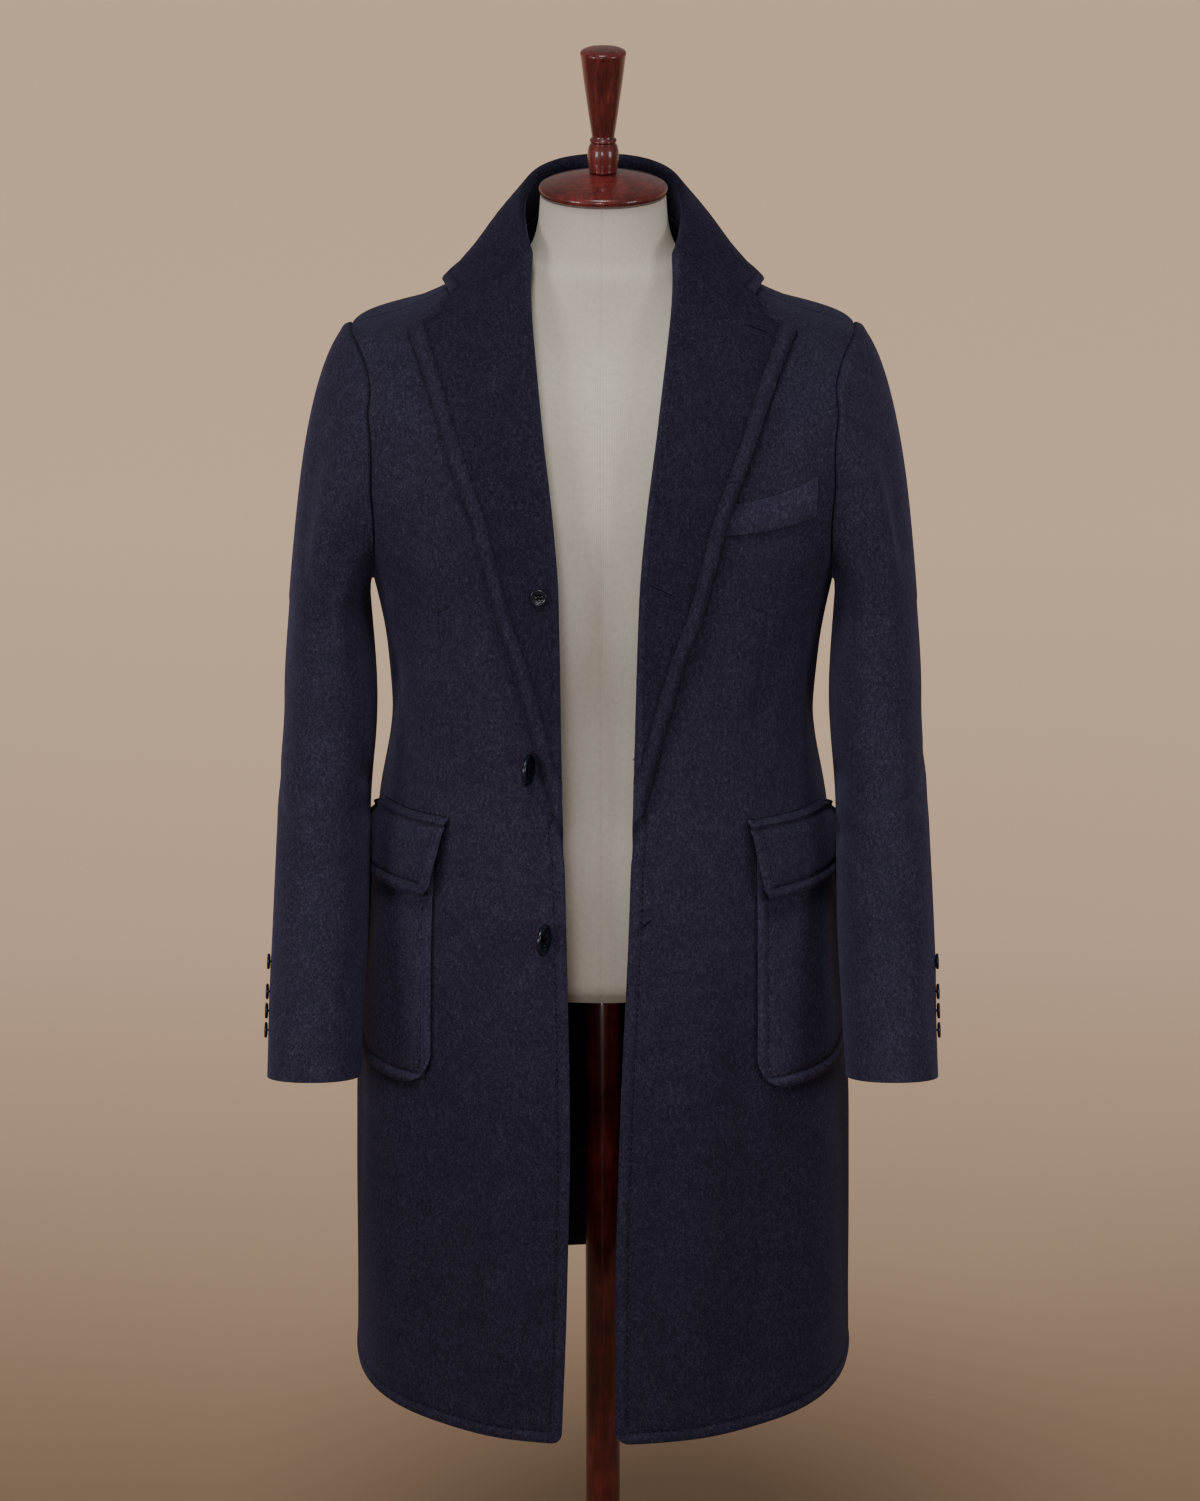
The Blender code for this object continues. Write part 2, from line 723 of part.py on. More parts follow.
def buttons(collection):
    flat_button("button_top", -1, 0.0590, 1.190, BUTTON_RADIUS * 0.92, 0.0036, 0.0005, collection)
    turned_button("button_middle", 0.0612, 1.0385, 84.0, collection)
    turned_button("button_bottom", 0.0493, 0.887, 76.0, collection)
    flat_button("button_backing", -1, 0.0535, 1.1905, SMALL_RADIUS, 0.0026, 0.0101, collection)
    for side, word in ((-1, "right"), (1, "left")):
        for number, z in enumerate(SLEEVE_BUTTON_HEIGHTS, 1):
            along = 1.0 + SLEEVE_SECTIONS[-1][0] - z
            base = sleeve_point(side, 9.0, along, 0.0)
            out = sleeve_point(side, 9.0, along, 0.01) - base
            centre = base + out.normalized() * (0.0007 + SMALL_THICK / 2)
            name = "cuff_button_{}_{}".format(word, number)
            button(name, SMALL_RADIUS, SMALL_THICK, centre, out, 14, collection)


FORM_SECTIONS = [
    # z, half, front, back, square
    (0.800, 0.1640, 0.112, 0.112, 2.10),
    (0.815, 0.1690, 0.118, 0.118, 2.10),
    (0.900, 0.1700, 0.119, 0.120, 2.10),
    (1.000, 0.1550, 0.110, 0.105, 2.10),
    (1.060, 0.1510, 0.107, 0.102, 2.10),
    (1.150, 0.1640, 0.112, 0.112, 2.20),
    (1.230, 0.1740, 0.114, 0.122, 2.35),
    (1.300, 0.1820, 0.104, 0.120, 2.50),
    (1.340, 0.1860, 0.090, 0.113, 2.45),
    (1.368, 0.1840, 0.074, 0.102, 2.30),
    (1.384, 0.1680, 0.066, 0.096, 2.20),
    (1.402, 0.1350, 0.061, 0.088, 2.15),
    (1.420, 0.1020, 0.058, 0.080, 2.10),
    (1.440, 0.0740, 0.056, 0.070, 2.05),
    (1.460, 0.0600, 0.053, 0.060, 2.00),
    (1.480, 0.0555, 0.051, 0.054, 2.00),
    (1.4995, 0.0540, 0.051, 0.051, 2.00),
]
FORM_SIDES = 32


def form_torso(name, collection):
    """The linen torso, lofted through its sections with a face at each end."""
    mesh = bmesh.new()
    rings = []
    for z, half, front, back, square in FORM_SECTIONS:
        ring = []
        for side in range(FORM_SIDES):
            angle = 2 * math.pi * side / FORM_SIDES
            sine, cosine = math.sin(angle), math.cos(angle)
            x = math.copysign(half * abs(sine) ** (2 / square), sine)
            depth = front if cosine >= 0 else back
            y = -math.copysign(depth * abs(cosine) ** (2 / square), cosine)
            shift = 0.004 if z > 1.45 else 0.0
            ring.append(mesh.verts.new((x, y + shift, z)))
        rings.append(ring)
    for low, high in zip(rings, rings[1:]):
        for side in range(FORM_SIDES):
            after = (side + 1) % FORM_SIDES
            mesh.faces.new((low[side], low[after], high[after], high[side]))
    mesh.faces.new(list(reversed(rings[0])))
    mesh.faces.new(rings[-1])
    return finish(mesh, name, "linen", collection)


def arc(radius, centre_r, centre_z, start, end, steps):
    """Points of an arc in the profile's plane, angles in degrees from straight out."""
    points = []
    for step in range(steps + 1):
        angle = math.radians(start + (end - start) * step / steps)
        points.append((centre_r + radius * math.cos(angle), centre_z + radius * math.sin(angle)))
    return points


def form_fittings(collection):
    cap_rim = CAP_Z + 0.0003
    dome = [(0.0, cap_rim + 0.0190), (0.020, cap_rim + 0.0178), (0.037, cap_rim + 0.0142)]
    dome += [(0.048, cap_rim + 0.0102), (CAP_RADIUS - 0.0008, cap_rim + 0.0076)]
    dome += [(CAP_RADIUS, cap_rim + 0.0066), (CAP_RADIUS, cap_rim + 0.0008)]
    dome += [(CAP_RADIUS - 0.0008, cap_rim), (0.0, cap_rim)]
    cap = turned("neck_cap", dome, 32, "mahogany", collection)
    cap.location = (0.0, 0.004, 0.0)
    low = cap_rim + 0.0190 + SEAM_GAP
    finial = [(0.0, 1.6262), (0.010, 1.6247), (0.0165, 1.6222), (0.0196, 1.6190)]
    finial += [(0.0194, 1.6160), (0.0150, 1.5850), (0.0112, 1.5560), (0.0093, 1.5478)]
    finial += arc(0.0122, 0.0016, low + 0.0125, 78, -78, 8)
    finial += [(0.0040, low), (0.0, low)]
    top = turned("finial", finial, 24, "mahogany", collection)
    top.location = (0.0, 0.004, 0.0)
    pole_top = FORM_BOTTOM_Z - SEAM_GAP
    pole = [(0.0, pole_top), (POLE_RADIUS, pole_top)]
    pole += [(POLE_RADIUS, BASE_THICK + SEAM_GAP), (0.0, BASE_THICK + SEAM_GAP)]
    turned("stand_pole", pole, 24, "mahogany", collection)
    base = [(0.0, BASE_THICK), (0.150, BASE_THICK)]
    base += [(0.176, BASE_THICK - 0.005), (BASE_RADIUS, BASE_THICK - 0.014)]
    base += [(BASE_RADIUS, 0.004), (BASE_RADIUS - 0.003, 0.0), (0.0, 0.0)]
    turned("stand_base", base, 36, "mahogany", collection)


def main():
    clear_scene()
    collection = bpy.data.collections.new("overcoat_on_dress_form")
    bpy.context.scene.collection.children.link(collection)
    for side, word in ((-1, "right"), (1, "left")):
        front_panel(side, "front_" + word, collection)
        back_panel(side, "back_" + word, collection)
        lapel(side, "lapel_" + word, collection)
        sleeves(side, word, collection)
        pocket(side, "pocket_" + word, collection)
        flap(side, "flap_" + word, collection)
    collar("collar", collection)
    chest_welt("chest_welt", collection)
    buttons(collection)
    form_torso("form_torso", collection)
    form_fittings(collection)


main()
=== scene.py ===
import bisect
import math
from functools import partial

import bmesh
import bpy
from mathutils import Matrix, Vector, noise


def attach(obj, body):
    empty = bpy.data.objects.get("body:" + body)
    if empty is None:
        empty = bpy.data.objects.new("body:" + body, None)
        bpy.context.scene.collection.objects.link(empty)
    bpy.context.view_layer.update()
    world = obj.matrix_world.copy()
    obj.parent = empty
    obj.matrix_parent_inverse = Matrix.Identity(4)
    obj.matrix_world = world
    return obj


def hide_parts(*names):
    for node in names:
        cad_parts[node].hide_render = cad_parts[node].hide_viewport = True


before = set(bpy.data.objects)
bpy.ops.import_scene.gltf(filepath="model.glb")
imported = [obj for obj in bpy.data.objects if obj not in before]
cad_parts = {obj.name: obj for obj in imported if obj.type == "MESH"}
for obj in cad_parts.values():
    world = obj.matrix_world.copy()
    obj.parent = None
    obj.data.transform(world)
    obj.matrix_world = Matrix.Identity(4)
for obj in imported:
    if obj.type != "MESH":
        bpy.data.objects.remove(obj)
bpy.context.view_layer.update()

# Metres. X runs to the wearer's left, the front faces -Y and the floor is z = 0.
# A side is -1 for the wearer's right and 1 for the wearer's left.
# Girth is the distance round the cloth from centre front, at one height.
# Swing is the angle round the body in degrees, 0 in front and 180 behind.
coat = {
    "wall": 0.0036,
    "seamGap": 0.0005,
    "hem": 0.407,
    "hemSlope": 0.008,
    "hemDepth": 0.185,
    "hemFade": 0.19,
    "armpit": 1.165,
    "shoulder": 1.386,
    "neck": 1.4595,
    "neckRise": 0.0185,
}
sides = ((-1, "Right"), (1, "Left"))

bodySections = [
    # z, half width, front depth, back depth, squareness
    (0.395, 0.2290, 0.183, 0.185, 2.10),
    (0.650, 0.2250, 0.177, 0.173, 2.15),
    (0.800, 0.2140, 0.170, 0.161, 2.20),
    (0.948, 0.1995, 0.160, 0.149, 2.25),
    (1.043, 0.1855, 0.152, 0.139, 2.30),
    (1.100, 0.1890, 0.149, 0.139, 2.35),
    (1.165, 0.2000, 0.145, 0.142, 2.45),
    (1.221, 0.2160, 0.139, 0.144, 2.80),
    (1.280, 0.2260, 0.129, 0.143, 3.20),
    (1.327, 0.2310, 0.115, 0.139, 3.20),
    (1.355, 0.2290, 0.102, 0.128, 2.80),
    (1.386, 0.2150, 0.088, 0.113, 2.30),
    (1.401, 0.1690, 0.082, 0.104, 2.20),
    (1.422, 0.1260, 0.076, 0.097, 2.15),
    (1.458, 0.0780, 0.062, 0.091, 2.15),
    (1.500, 0.0700, 0.055, 0.084, 2.20),
]

frontEdges = [
    # z, wearer's right girth, wearer's left girth
    (0.395, 0.0377, 0.0110),
    (0.545, 0.0320, 0.0112),
    (0.707, 0.0290, 0.0145),
    (0.897, 0.0319, 0.0222),
    (1.046, 0.0352, 0.0262),
    (1.188, 0.0375, 0.0303),
    (1.255, 0.0424, 0.0360),
    (1.319, 0.0500, 0.0443),
    (1.380, 0.0564, 0.0522),
    (1.4595, 0.0640, 0.0620),
]


def ease(t):
    t = min(max(t, 0.0), 1.0)
    return t * t * (3 - 2 * t)


def between(table, place, column):  # a smooth curve through a table that never overshoots
    places = [row[0] for row in table]
    values = [row[column] for row in table]
    place = min(max(place, places[0]), places[-1])
    index = 0
    while index < len(places) - 2 and place > places[index + 1]:
        index += 1

    def slope(knot):
        if knot in (0, len(places) - 1):
            end = max(knot, 1)
            return (values[end] - values[end - 1]) / (places[end] - places[end - 1])
        before = (values[knot] - values[knot - 1]) / (places[knot] - places[knot - 1])
        after = (values[knot + 1] - values[knot]) / (places[knot + 1] - places[knot])
        if before * after <= 0:
            return 0.0
        return 2 * before * after / (before + after)

    step = places[index + 1] - places[index]
    t = (place - places[index]) / step
    rise = (1 + 2 * t) * (1 - t) ** 2 * values[index] + t * t * (3 - 2 * t) * values[index + 1]
    bend = t * (1 - t) ** 2 * step * slope(index) + t * t * (t - 1) * step * slope(index + 1)
    return rise + bend


grain = {"low": 0.380, "high": 1.520, "sectionStep": 0.001, "ringStep": 0.002, "swingStep": 1.5}
sectionList = []
for count in range(round((grain["high"] - grain["low"]) / grain["sectionStep"]) + 1):
    height = grain["low"] + count * grain["sectionStep"]
    sectionList.append([between(bodySections, height, column) for column in (1, 2, 3, 4)])


def sectionAt(z):
    place = (z - grain["low"]) / grain["sectionStep"]
    place = min(max(place, 0.0), len(sectionList) - 1.001)
    index = int(place)
    share = place - index
    return [a + share * (b - a) for a, b in zip(sectionList[index], sectionList[index + 1])]


def onSection(swing, section):
    half, front, back, square = section
    sine, cosine = math.sin(math.radians(swing)), math.cos(math.radians(swing))
    depth = front if cosine >= 0 else back
    reach = (abs(sine / half) ** square + abs(cosine / depth) ** square) ** (-1 / square)
    return reach * sine, -reach * cosine


ringSteps = round(180 / grain["swingStep"])
ringList = []
for count in range(round((grain["high"] - grain["low"]) / grain["ringStep"]) + 1):
    section = sectionAt(grain["low"] + count * grain["ringStep"])
    spots = [onSection(step * grain["swingStep"], section) for step in range(ringSteps + 1)]
    lengths = [0.0]
    for (x0, y0), (x1, y1) in zip(spots, spots[1:]):
        lengths.append(lengths[-1] + math.hypot(x1 - x0, y1 - y0))
    ringList.append(lengths)


def ringsAt(z):
    place = (z - grain["low"]) / grain["ringStep"]
    place = min(max(place, 0.0), len(ringList) - 1.001)
    index = int(place)
    return ringList[index], ringList[index + 1], place - index


def girthAt(swing, z):
    low, high, share = ringsAt(z)
    place = swing / grain["swingStep"]
    index = min(int(place), ringSteps - 1)
    first = low[index] + (place - index) * (low[index + 1] - low[index])
    second = high[index] + (place - index) * (high[index + 1] - high[index])
    return first + share * (second - first)


def swingAt(girth, z):
    low, high, share = ringsAt(z)
    found = []
    for lengths in (low, high):
        index = min(max(bisect.bisect_right(lengths, girth) - 1, 0), ringSteps - 1)
        found.append(index + (girth - lengths[index]) / (lengths[index + 1] - lengths[index]))
    return (found[0] + share * (found[1] - found[0])) * grain["swingStep"]


def bareSurface(swing, z):  # the point and the outward normal, with no folds
    section = sectionAt(z)
    x, y = onSection(swing, section)
    half, front, back, square = section
    depth = front if y <= 0 else back
    near = 0.0015

    def level(height):  # how far out the point is on another height's section
        a, f, b, n = sectionAt(height)
        return (abs(x) / a) ** n + (abs(y) / (f if y <= 0 else b)) ** n

    gx = math.copysign((abs(x) / half) ** (square - 1) / half, x)
    gy = math.copysign((abs(y) / depth) ** (square - 1) / depth, y)
    gz = (level(z + near) - level(z - near)) / (2 * near * square)
    return Vector((x, y, z)), Vector((gx, gy, gz)).normalized()


# Soft folds are laid as straight or bowed lines over the cloth.
fading = {"past": 0.15, "length": 0.45, "reach": 2.6}


def layFolds(rows):
    folds = []
    for across0, up0, across1, up1, width, height, bow in rows:
        run = Vector((across1 - across0, up1 - up0))
        folds.append((across0, up0, run.x, run.y, run.length, width, height, bow))
    return folds


def foldHeight(folds, across, up):
    total = 0.0
    for across0, up0, runAcross, runUp, length, width, height, bow in folds:
        along = ((across - across0) * runAcross + (up - up0) * runUp) / (length * length)
        if not -fading["past"] < along < 1 + fading["past"]:
            continue
        away = ((across - across0) * runUp - (up - up0) * runAcross) / length
        away -= bow * 4 * along * (1 - along)
        if abs(away) > fading["reach"] * width:
            continue
        fade = ease((along + fading["past"]) / fading["length"])
        fade *= ease((1 + fading["past"] - along) / fading["length"])
        total += height * fade * math.exp(-((away / width) ** 2))
    return total


perDegree = 0.0035  # metres of cloth to a degree of swing, for laying folds
bodyFolds = {
    # across and up at the start, across and up at the end, width, height, bow
    -1: layFolds([
        (0.098, 0.860, 0.104, 0.415, 0.030, 0.0042, 0.006),
        (0.150, 0.800, 0.158, 0.415, 0.034, -0.0046, -0.004),
        (0.218, 0.900, 0.228, 0.415, 0.038, 0.0050, 0.004),
        (0.284, 0.960, 0.300, 0.430, 0.026, -0.0050, 0.006),
        (0.205, 1.165, 0.158, 1.075, 0.016, -0.0026, 0.004),
        (0.240, 1.115, 0.292, 1.030, 0.014, -0.0022, 0.003),
        (0.052, 0.760, 0.060, 0.430, 0.020, -0.0018, 0.003),
        (0.372, 0.930, 0.392, 0.420, 0.030, 0.0052, 0.006),
        (0.440, 0.985, 0.452, 0.425, 0.026, -0.0056, -0.006),
        (0.512, 0.900, 0.516, 0.420, 0.034, 0.0050, 0.004),
        (0.574, 0.830, 0.580, 0.430, 0.022, -0.0036, 0.002),
        (0.372, 1.085, 0.520, 1.040, 0.012, -0.0028, -0.010),
        (0.398, 1.035, 0.560, 1.008, 0.013, -0.0026, -0.008),
        (0.430, 1.250, 0.470, 1.110, 0.022, -0.0034, 0.006),
        (0.500, 1.330, 0.540, 1.240, 0.030, 0.0022, 0.004),
    ]),
    1: layFolds([
        (0.094, 0.830, 0.100, 0.415, 0.032, 0.0040, -0.006),
        (0.142, 0.850, 0.150, 0.415, 0.028, -0.0044, 0.005),
        (0.210, 0.870, 0.216, 0.415, 0.040, 0.0048, -0.004),
        (0.276, 0.930, 0.288, 0.430, 0.030, -0.0052, 0.004),
        (0.212, 1.160, 0.170, 1.060, 0.015, -0.0024, -0.004),
        (0.246, 1.100, 0.300, 1.020, 0.015, -0.0024, 0.004),
        (0.044, 0.700, 0.050, 0.430, 0.018, -0.0016, -0.003),
        (0.362, 0.960, 0.378, 0.420, 0.032, 0.0050, -0.005),
        (0.430, 0.940, 0.446, 0.425, 0.024, -0.0054, 0.005),
        (0.498, 0.930, 0.508, 0.420, 0.032, 0.0052, -0.004),
        (0.566, 0.870, 0.570, 0.430, 0.024, -0.0040, 0.003),
        (0.366, 1.070, 0.500, 1.050, 0.013, -0.0026, -0.009),
        (0.410, 1.022, 0.548, 0.996, 0.012, -0.0024, -0.010),
        (0.424, 1.235, 0.474, 1.095, 0.020, -0.0036, 0.005),
        (0.506, 1.320, 0.548, 1.225, 0.028, 0.0022, -0.004),
    ]),
}
wander = {"height": 0.0011, "scale": 8.0}


def bodyFold(side, swing, z):
    across = swing * perDegree
    soft = noise.noise(Vector((across, z, side * 0.37)) * wander["scale"]) * wander["height"]
    calm = 1 - ease((z - 1.330) / 0.050)  # smooth over the shoulders
    return (foldHeight(bodyFolds[side], across, z) + soft) * calm


def onSide(side, spot):
    return Vector((side * spot.x, spot.y, spot.z))


def skinFrame(side, girth, z, out=0.0):  # a point on the cloth and the way out of it
    swing = swingAt(girth, z)
    point, normal = bareSurface(swing, z)
    point += normal * (out + bodyFold(side, swing, z))
    return onSide(side, point), onSide(side, normal)


def skin(side, girth, z, out=0.0):
    return skinFrame(side, girth, z, out)[0]


armhole = {
    "front": 0.094,
    "back": 0.084,
    "square": 2.2,
    "middle": (coat["shoulder"] + coat["armpit"]) / 2,
    "reach": (coat["shoulder"] - coat["armpit"]) / 2,
}


def armholeDepth(z, depth):
    share = min(abs(z - armhole["middle"]) / armhole["reach"], 1.0)
    return depth * (1 - share ** armhole["square"]) ** (1 / armhole["square"])


def seamSwing(z, back):  # a panel's outer border: side seam, armhole, then shoulder seam
    if z <= coat["armpit"] or z >= coat["shoulder"]:
        return 90.0
    y = armholeDepth(z, armhole["back" if back else "front"])
    half, frontDepth, backDepth, square = sectionAt(z)
    depth = backDepth if back else frontDepth
    x = half * (1 - (y / depth) ** square) ** (1 / square)
    swing = math.degrees(math.atan2(x, y))
    return 180.0 - swing if back else swing


def neckHeight(share):
    share = max(share, 0.0)
    return coat["neck"] + coat["neckRise"] * share * share * (3 - 2 * share)


# A swelled edge: a soft ridge along the border, then the line the stitches draw in.
swelled = {
    "ridge": 0.0016,
    "wide": 0.0098,
    "line": 0.0108,
    "trough": 0.0014,
    "narrow": 0.0019,
    "hemShare": 0.42,
    "napAndPaintedLight": 560,  # how much paler the swelled ridge is painted, a painted highlight, and how much darker its stitch line, a painted shade, for a metre of swell
}
borderSteps = [0, 0.0008, 0.0020, 0.0036, 0.0054, 0.0072, 0.0085, 0.0095]
borderSteps += [0.0105, 0.0115, 0.0126, 0.0144]


def swell(inward):
    ridge = swelled["ridge"] * math.sin(math.pi * min(max(inward / swelled["wide"], 0.0), 1.0))
    away = (inward - swelled["line"]) / swelled["narrow"]
    return ridge - swelled["trough"] * math.exp(-away * away)


def bodySwell(inward, z):  # flatter along the skirt's edges than round the lapels
    low = swelled["hemShare"]
    return swell(inward) * (low + (1 - low) * ease((z - 0.960) / 0.140))


def roundCorner(inward, up, radius):  # a square corner's grid, bent to a round one
    if inward >= radius or up >= radius:
        return inward, up
    x, y = (radius - inward) / radius, (radius - up) / radius
    return radius * (1 - x * math.sqrt(1 - y * y / 2)), radius * (1 - y * math.sqrt(1 - x * x / 2))


def spread(start, end, count):  # evenly spaced places, without the first
    return [start + (end - start) * (k + 1) / count for k in range(count)]


def keep(piece, nodes=()):
    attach(piece, "root")
    if nodes:
        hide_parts(*nodes)
    return piece


def makePiece(name, bm, material):
    data = bpy.data.meshes.new(name)
    bm.to_mesh(data)
    bm.free()
    data.shade_smooth()
    piece = bpy.data.objects.new(name, data)
    bpy.context.scene.collection.objects.link(piece)
    data.materials.append(material)
    return piece


def startGrid(columns, rows):
    bm = bmesh.new()
    bmesh.ops.create_grid(bm, x_segments=columns, y_segments=rows, size=1.0)
    return bm


def gridSpots(bm, columns, rows):  # the column and row of each vertex of a new grid
    spots = {}
    for vert in bm.verts:
        spots[vert] = (round((vert.co.x + 1) / 2 * columns), round((vert.co.y + 1) / 2 * rows))
    return spots


def roundEdges(piece, name, width, sharpest):
    soft = piece.modifiers.new(name, "BEVEL")
    soft.width = width
    soft.segments = 3
    soft.limit_method = "ANGLE"
    soft.angle_limit = math.radians(sharpest)
    soft.harden_normals = False


def clothPiece(name, rows, probe, centre, nodes, wall=coat["wall"], rim=0.0013, napAndPaintedLights=None):
    # rows of points on the outer face, which looks away from the centre at the probe's row and column
    # the tones give each point its painted light: above 0 the cloth is painted paler, a painted highlight,
    # and below 0 darker, a painted shade
    last = len(rows) - 1
    columns = len(rows[0]) - 1
    bm = startGrid(columns, last)
    napAndPaintedLight = bm.verts.layers.float.new("napAndPaintedLight")
    for vert, (column, row) in gridSpots(bm, columns, last).items():
        vert.co = rows[row][column]
        if napAndPaintedLights:
            vert[napAndPaintedLight] = napAndPaintedLights[row][column]
        if (row, column) == probe:
            tested = vert
    bm.normal_update()
    if tested.normal.dot(tested.co - centre) < 0:
        bmesh.ops.reverse_faces(bm, faces=bm.faces[:])
    piece = makePiece(name, bm, woolCloth)
    thick = piece.modifiers.new("wall", "SOLIDIFY")
    thick.thickness = wall
    thick.offset = -1.0  # the wall lies inside the outer face
    roundEdges(piece, "turned edge", rim, 55)
    return keep(piece, nodes)


# Materials
def nodeIn(tree, kind, place, **values):
    node = tree.nodes.new(kind)
    node.location = place
    for name, value in values.items():
        if hasattr(node, name):
            setattr(node, name, value)
        else:
            node.inputs[name.replace("_", " ")].default_value = value
    return node


def noiseIn(tree, place, **values):
    return nodeIn(tree, "ShaderNodeTexNoise", place, **values)


def wire(tree, *runs):  # each run is a node, its output, the next node and its input
    for source, output, target, socket in runs:
        tree.links.new(source.outputs[output], target.inputs[socket])


def setInputs(node, values):
    for label, value in values.items():
        node.inputs[label].default_value = value


def startMaterial(name):
    material = bpy.data.materials.new(name)
    material.use_nodes = True
    tree = material.node_tree
    return material, tree, tree.nodes["Principled BSDF"]


def rampTo(tree, place, stops, source, output):
    ramp = nodeIn(tree, "ShaderNodeValToRGB", place)
    while len(ramp.color_ramp.elements) < len(stops):
        ramp.color_ramp.elements.new(0.5)
    for element, (position, color) in zip(ramp.color_ramp.elements, stops):
        element.position = position
        element.color = (*color, 1.0)
    wire(tree, (source, output, ramp, "Fac"))
    return ramp


def makeGroup(name, inputs, outputs):
    group = bpy.data.node_groups.new(name, "ShaderNodeTree")
    for label, kind, value in inputs:
        socket = group.interface.new_socket(name=label, in_out="INPUT", socket_type=kind)
        if value is not None:
            socket.default_value = value
    for label in outputs:
        group.interface.new_socket(name=label, in_out="OUTPUT", socket_type="NodeSocketFloat")
    return group


def makeNapGroup():  # brushed fibres lying downwards, with clouds where the nap turns
    inputs = [
        ("Vector", "NodeSocketVector", None),
        ("Fibre Scale", "NodeSocketFloat", 620.0),
        ("Cloud Scale", "NodeSocketFloat", 42.0),
        ("Cloud Share", "NodeSocketFloat", 0.35),
    ]
    group = makeGroup("brushedNap", inputs, ["Tone", "Height"])
    start = nodeIn(group, "NodeGroupInput", (-900, 0))
    end = nodeIn(group, "NodeGroupOutput", (700, 0))
    combed = nodeIn(group, "ShaderNodeMapping", (-700, 100), Scale=(1.0, 1.0, 0.60))
    fibre = noiseIn(group, (-450, 200), Detail=3.0, Roughness=0.62, Distortion=0.6)
    pile = noiseIn(group, (-450, -50), Scale=430.0, Detail=3.0, Roughness=0.65, Distortion=0.8)
    cloud = noiseIn(group, (-450, -300), Detail=2.0, Roughness=0.5, Distortion=0.5)
    fine = nodeIn(group, "ShaderNodeMix", (-200, 150), data_type="FLOAT", Factor=0.45)
    tone = nodeIn(group, "ShaderNodeMix", (50, 50), data_type="FLOAT")
    wire(
        group,
        (start, "Vector", combed, "Vector"),
        (combed, "Vector", fibre, "Vector"),
        (combed, "Vector", pile, "Vector"),
        (start, "Vector", cloud, "Vector"),
        (start, "Fibre Scale", fibre, "Scale"),
        (start, "Cloud Scale", cloud, "Scale"),
        (fibre, "Fac", fine, 2),
        (pile, "Fac", fine, 3),
        (start, "Cloud Share", tone, 0),
        (fine, 0, tone, 2),
        (cloud, "Fac", tone, 3),
        (tone, 0, end, "Tone"),
        (fine, 0, end, "Height"),
    )
    return group


def bumpTo(tree, shader, source, output, strength, distance):
    bump = nodeIn(tree, "ShaderNodeBump", (-250, -350), Strength=strength, Distance=distance)
    wire(tree, (source, output, bump, "Height"), (bump, "Normal", shader, "Normal"))


def makeWool(name, stops, sheen, values):
    material, tree, shader = startMaterial(name)
    coordinates = nodeIn(tree, "ShaderNodeTexCoord", (-1000, 0))
    napAndPaintedLight = nodeIn(tree, "ShaderNodeGroup", (-800, 0), node_tree=napGroup)
    setInputs(napAndPaintedLight, values)
    tone = rampTo(tree, (-500, 100), stops, napAndPaintedLight, "Tone")
    ridge = nodeIn(tree, "ShaderNodeAttribute", (-800, 300), attribute_name="napAndPaintedLight")
    span = {"From_Min": -3.0, "From_Max": 3.0, "To_Min": 0.10, "To_Max": 1.90}
    lift = nodeIn(tree, "ShaderNodeMapRange", (-500, 400), **span)  # painted light: the attribute paints the base colour paler above 0, a painted highlight, and darker below 0, a painted shade
    toneWithPaintedLight = nodeIn(tree, "ShaderNodeVectorMath", (-200, 250), operation="SCALE")
    wire(
        tree,
        (coordinates, "Object", napAndPaintedLight, "Vector"),
        (ridge, "Fac", lift, "Value"),
        (tone, "Color", toneWithPaintedLight, 0),
        (lift, "Result", toneWithPaintedLight, "Scale"),
        (toneWithPaintedLight, "Vector", shader, "Base Color"),
    )
    bumpTo(tree, shader, napAndPaintedLight, "Height", 0.65, 0.0014)
    setInputs(shader, {
        "Roughness": 0.95,
        "Specular IOR Level": 0.06,
        "Sheen Weight": sheen,
        "Sheen Roughness": 0.30,
        "Sheen Tint": (0.46, 0.43, 0.80, 1.0),
    })
    return material


def makeLinen():
    material, tree, shader = startMaterial("linenCover")
    place = nodeIn(tree, "ShaderNodeUVMap", (-1200, 0), uv_map="cover")
    yarn = {"Scale": 330.0, "Distortion": 1.2, "Detail": 1.0}
    warp = nodeIn(tree, "ShaderNodeTexWave", (-900, 150), bands_direction="X", **yarn)
    weft = nodeIn(tree, "ShaderNodeTexWave", (-900, -100), bands_direction="Y", **yarn)
    slub = noiseIn(tree, (-900, -350), Scale=240.0, Detail=3.0, Roughness=0.6)
    weave = nodeIn(tree, "ShaderNodeMath", (-650, 50), operation="MULTIPLY")
    height = nodeIn(tree, "ShaderNodeMix", (-450, -50), data_type="FLOAT", Factor=0.45)
    stops = [(0.05, (0.50, 0.45, 0.37)), (0.45, (0.66, 0.61, 0.52)), (0.9, (0.78, 0.74, 0.66))]
    ramp = rampTo(tree, (-250, 150), stops, height, 0)
    wire(
        tree,
        (place, "UV", warp, "Vector"),
        (place, "UV", weft, "Vector"),
        (place, "UV", slub, "Vector"),
        (warp, "Fac", weave, 0),
        (weft, "Fac", weave, 1),
        (weave, "Value", height, 2),
        (slub, "Fac", height, 3),
        (ramp, "Color", shader, "Base Color"),
    )
    bumpTo(tree, shader, height, 0, 0.35, 0.0005)
    setInputs(shader, {"Roughness": 0.88, "Specular IOR Level": 0.2, "Sheen Weight": 0.12})
    return material


def varnish(shader, roughness, specular, coatWeight, coatRoughness):
    setInputs(shader, {
        "Roughness": roughness,
        "Specular IOR Level": specular,
        "Coat Weight": coatWeight,
        "Coat Roughness": coatRoughness,
    })


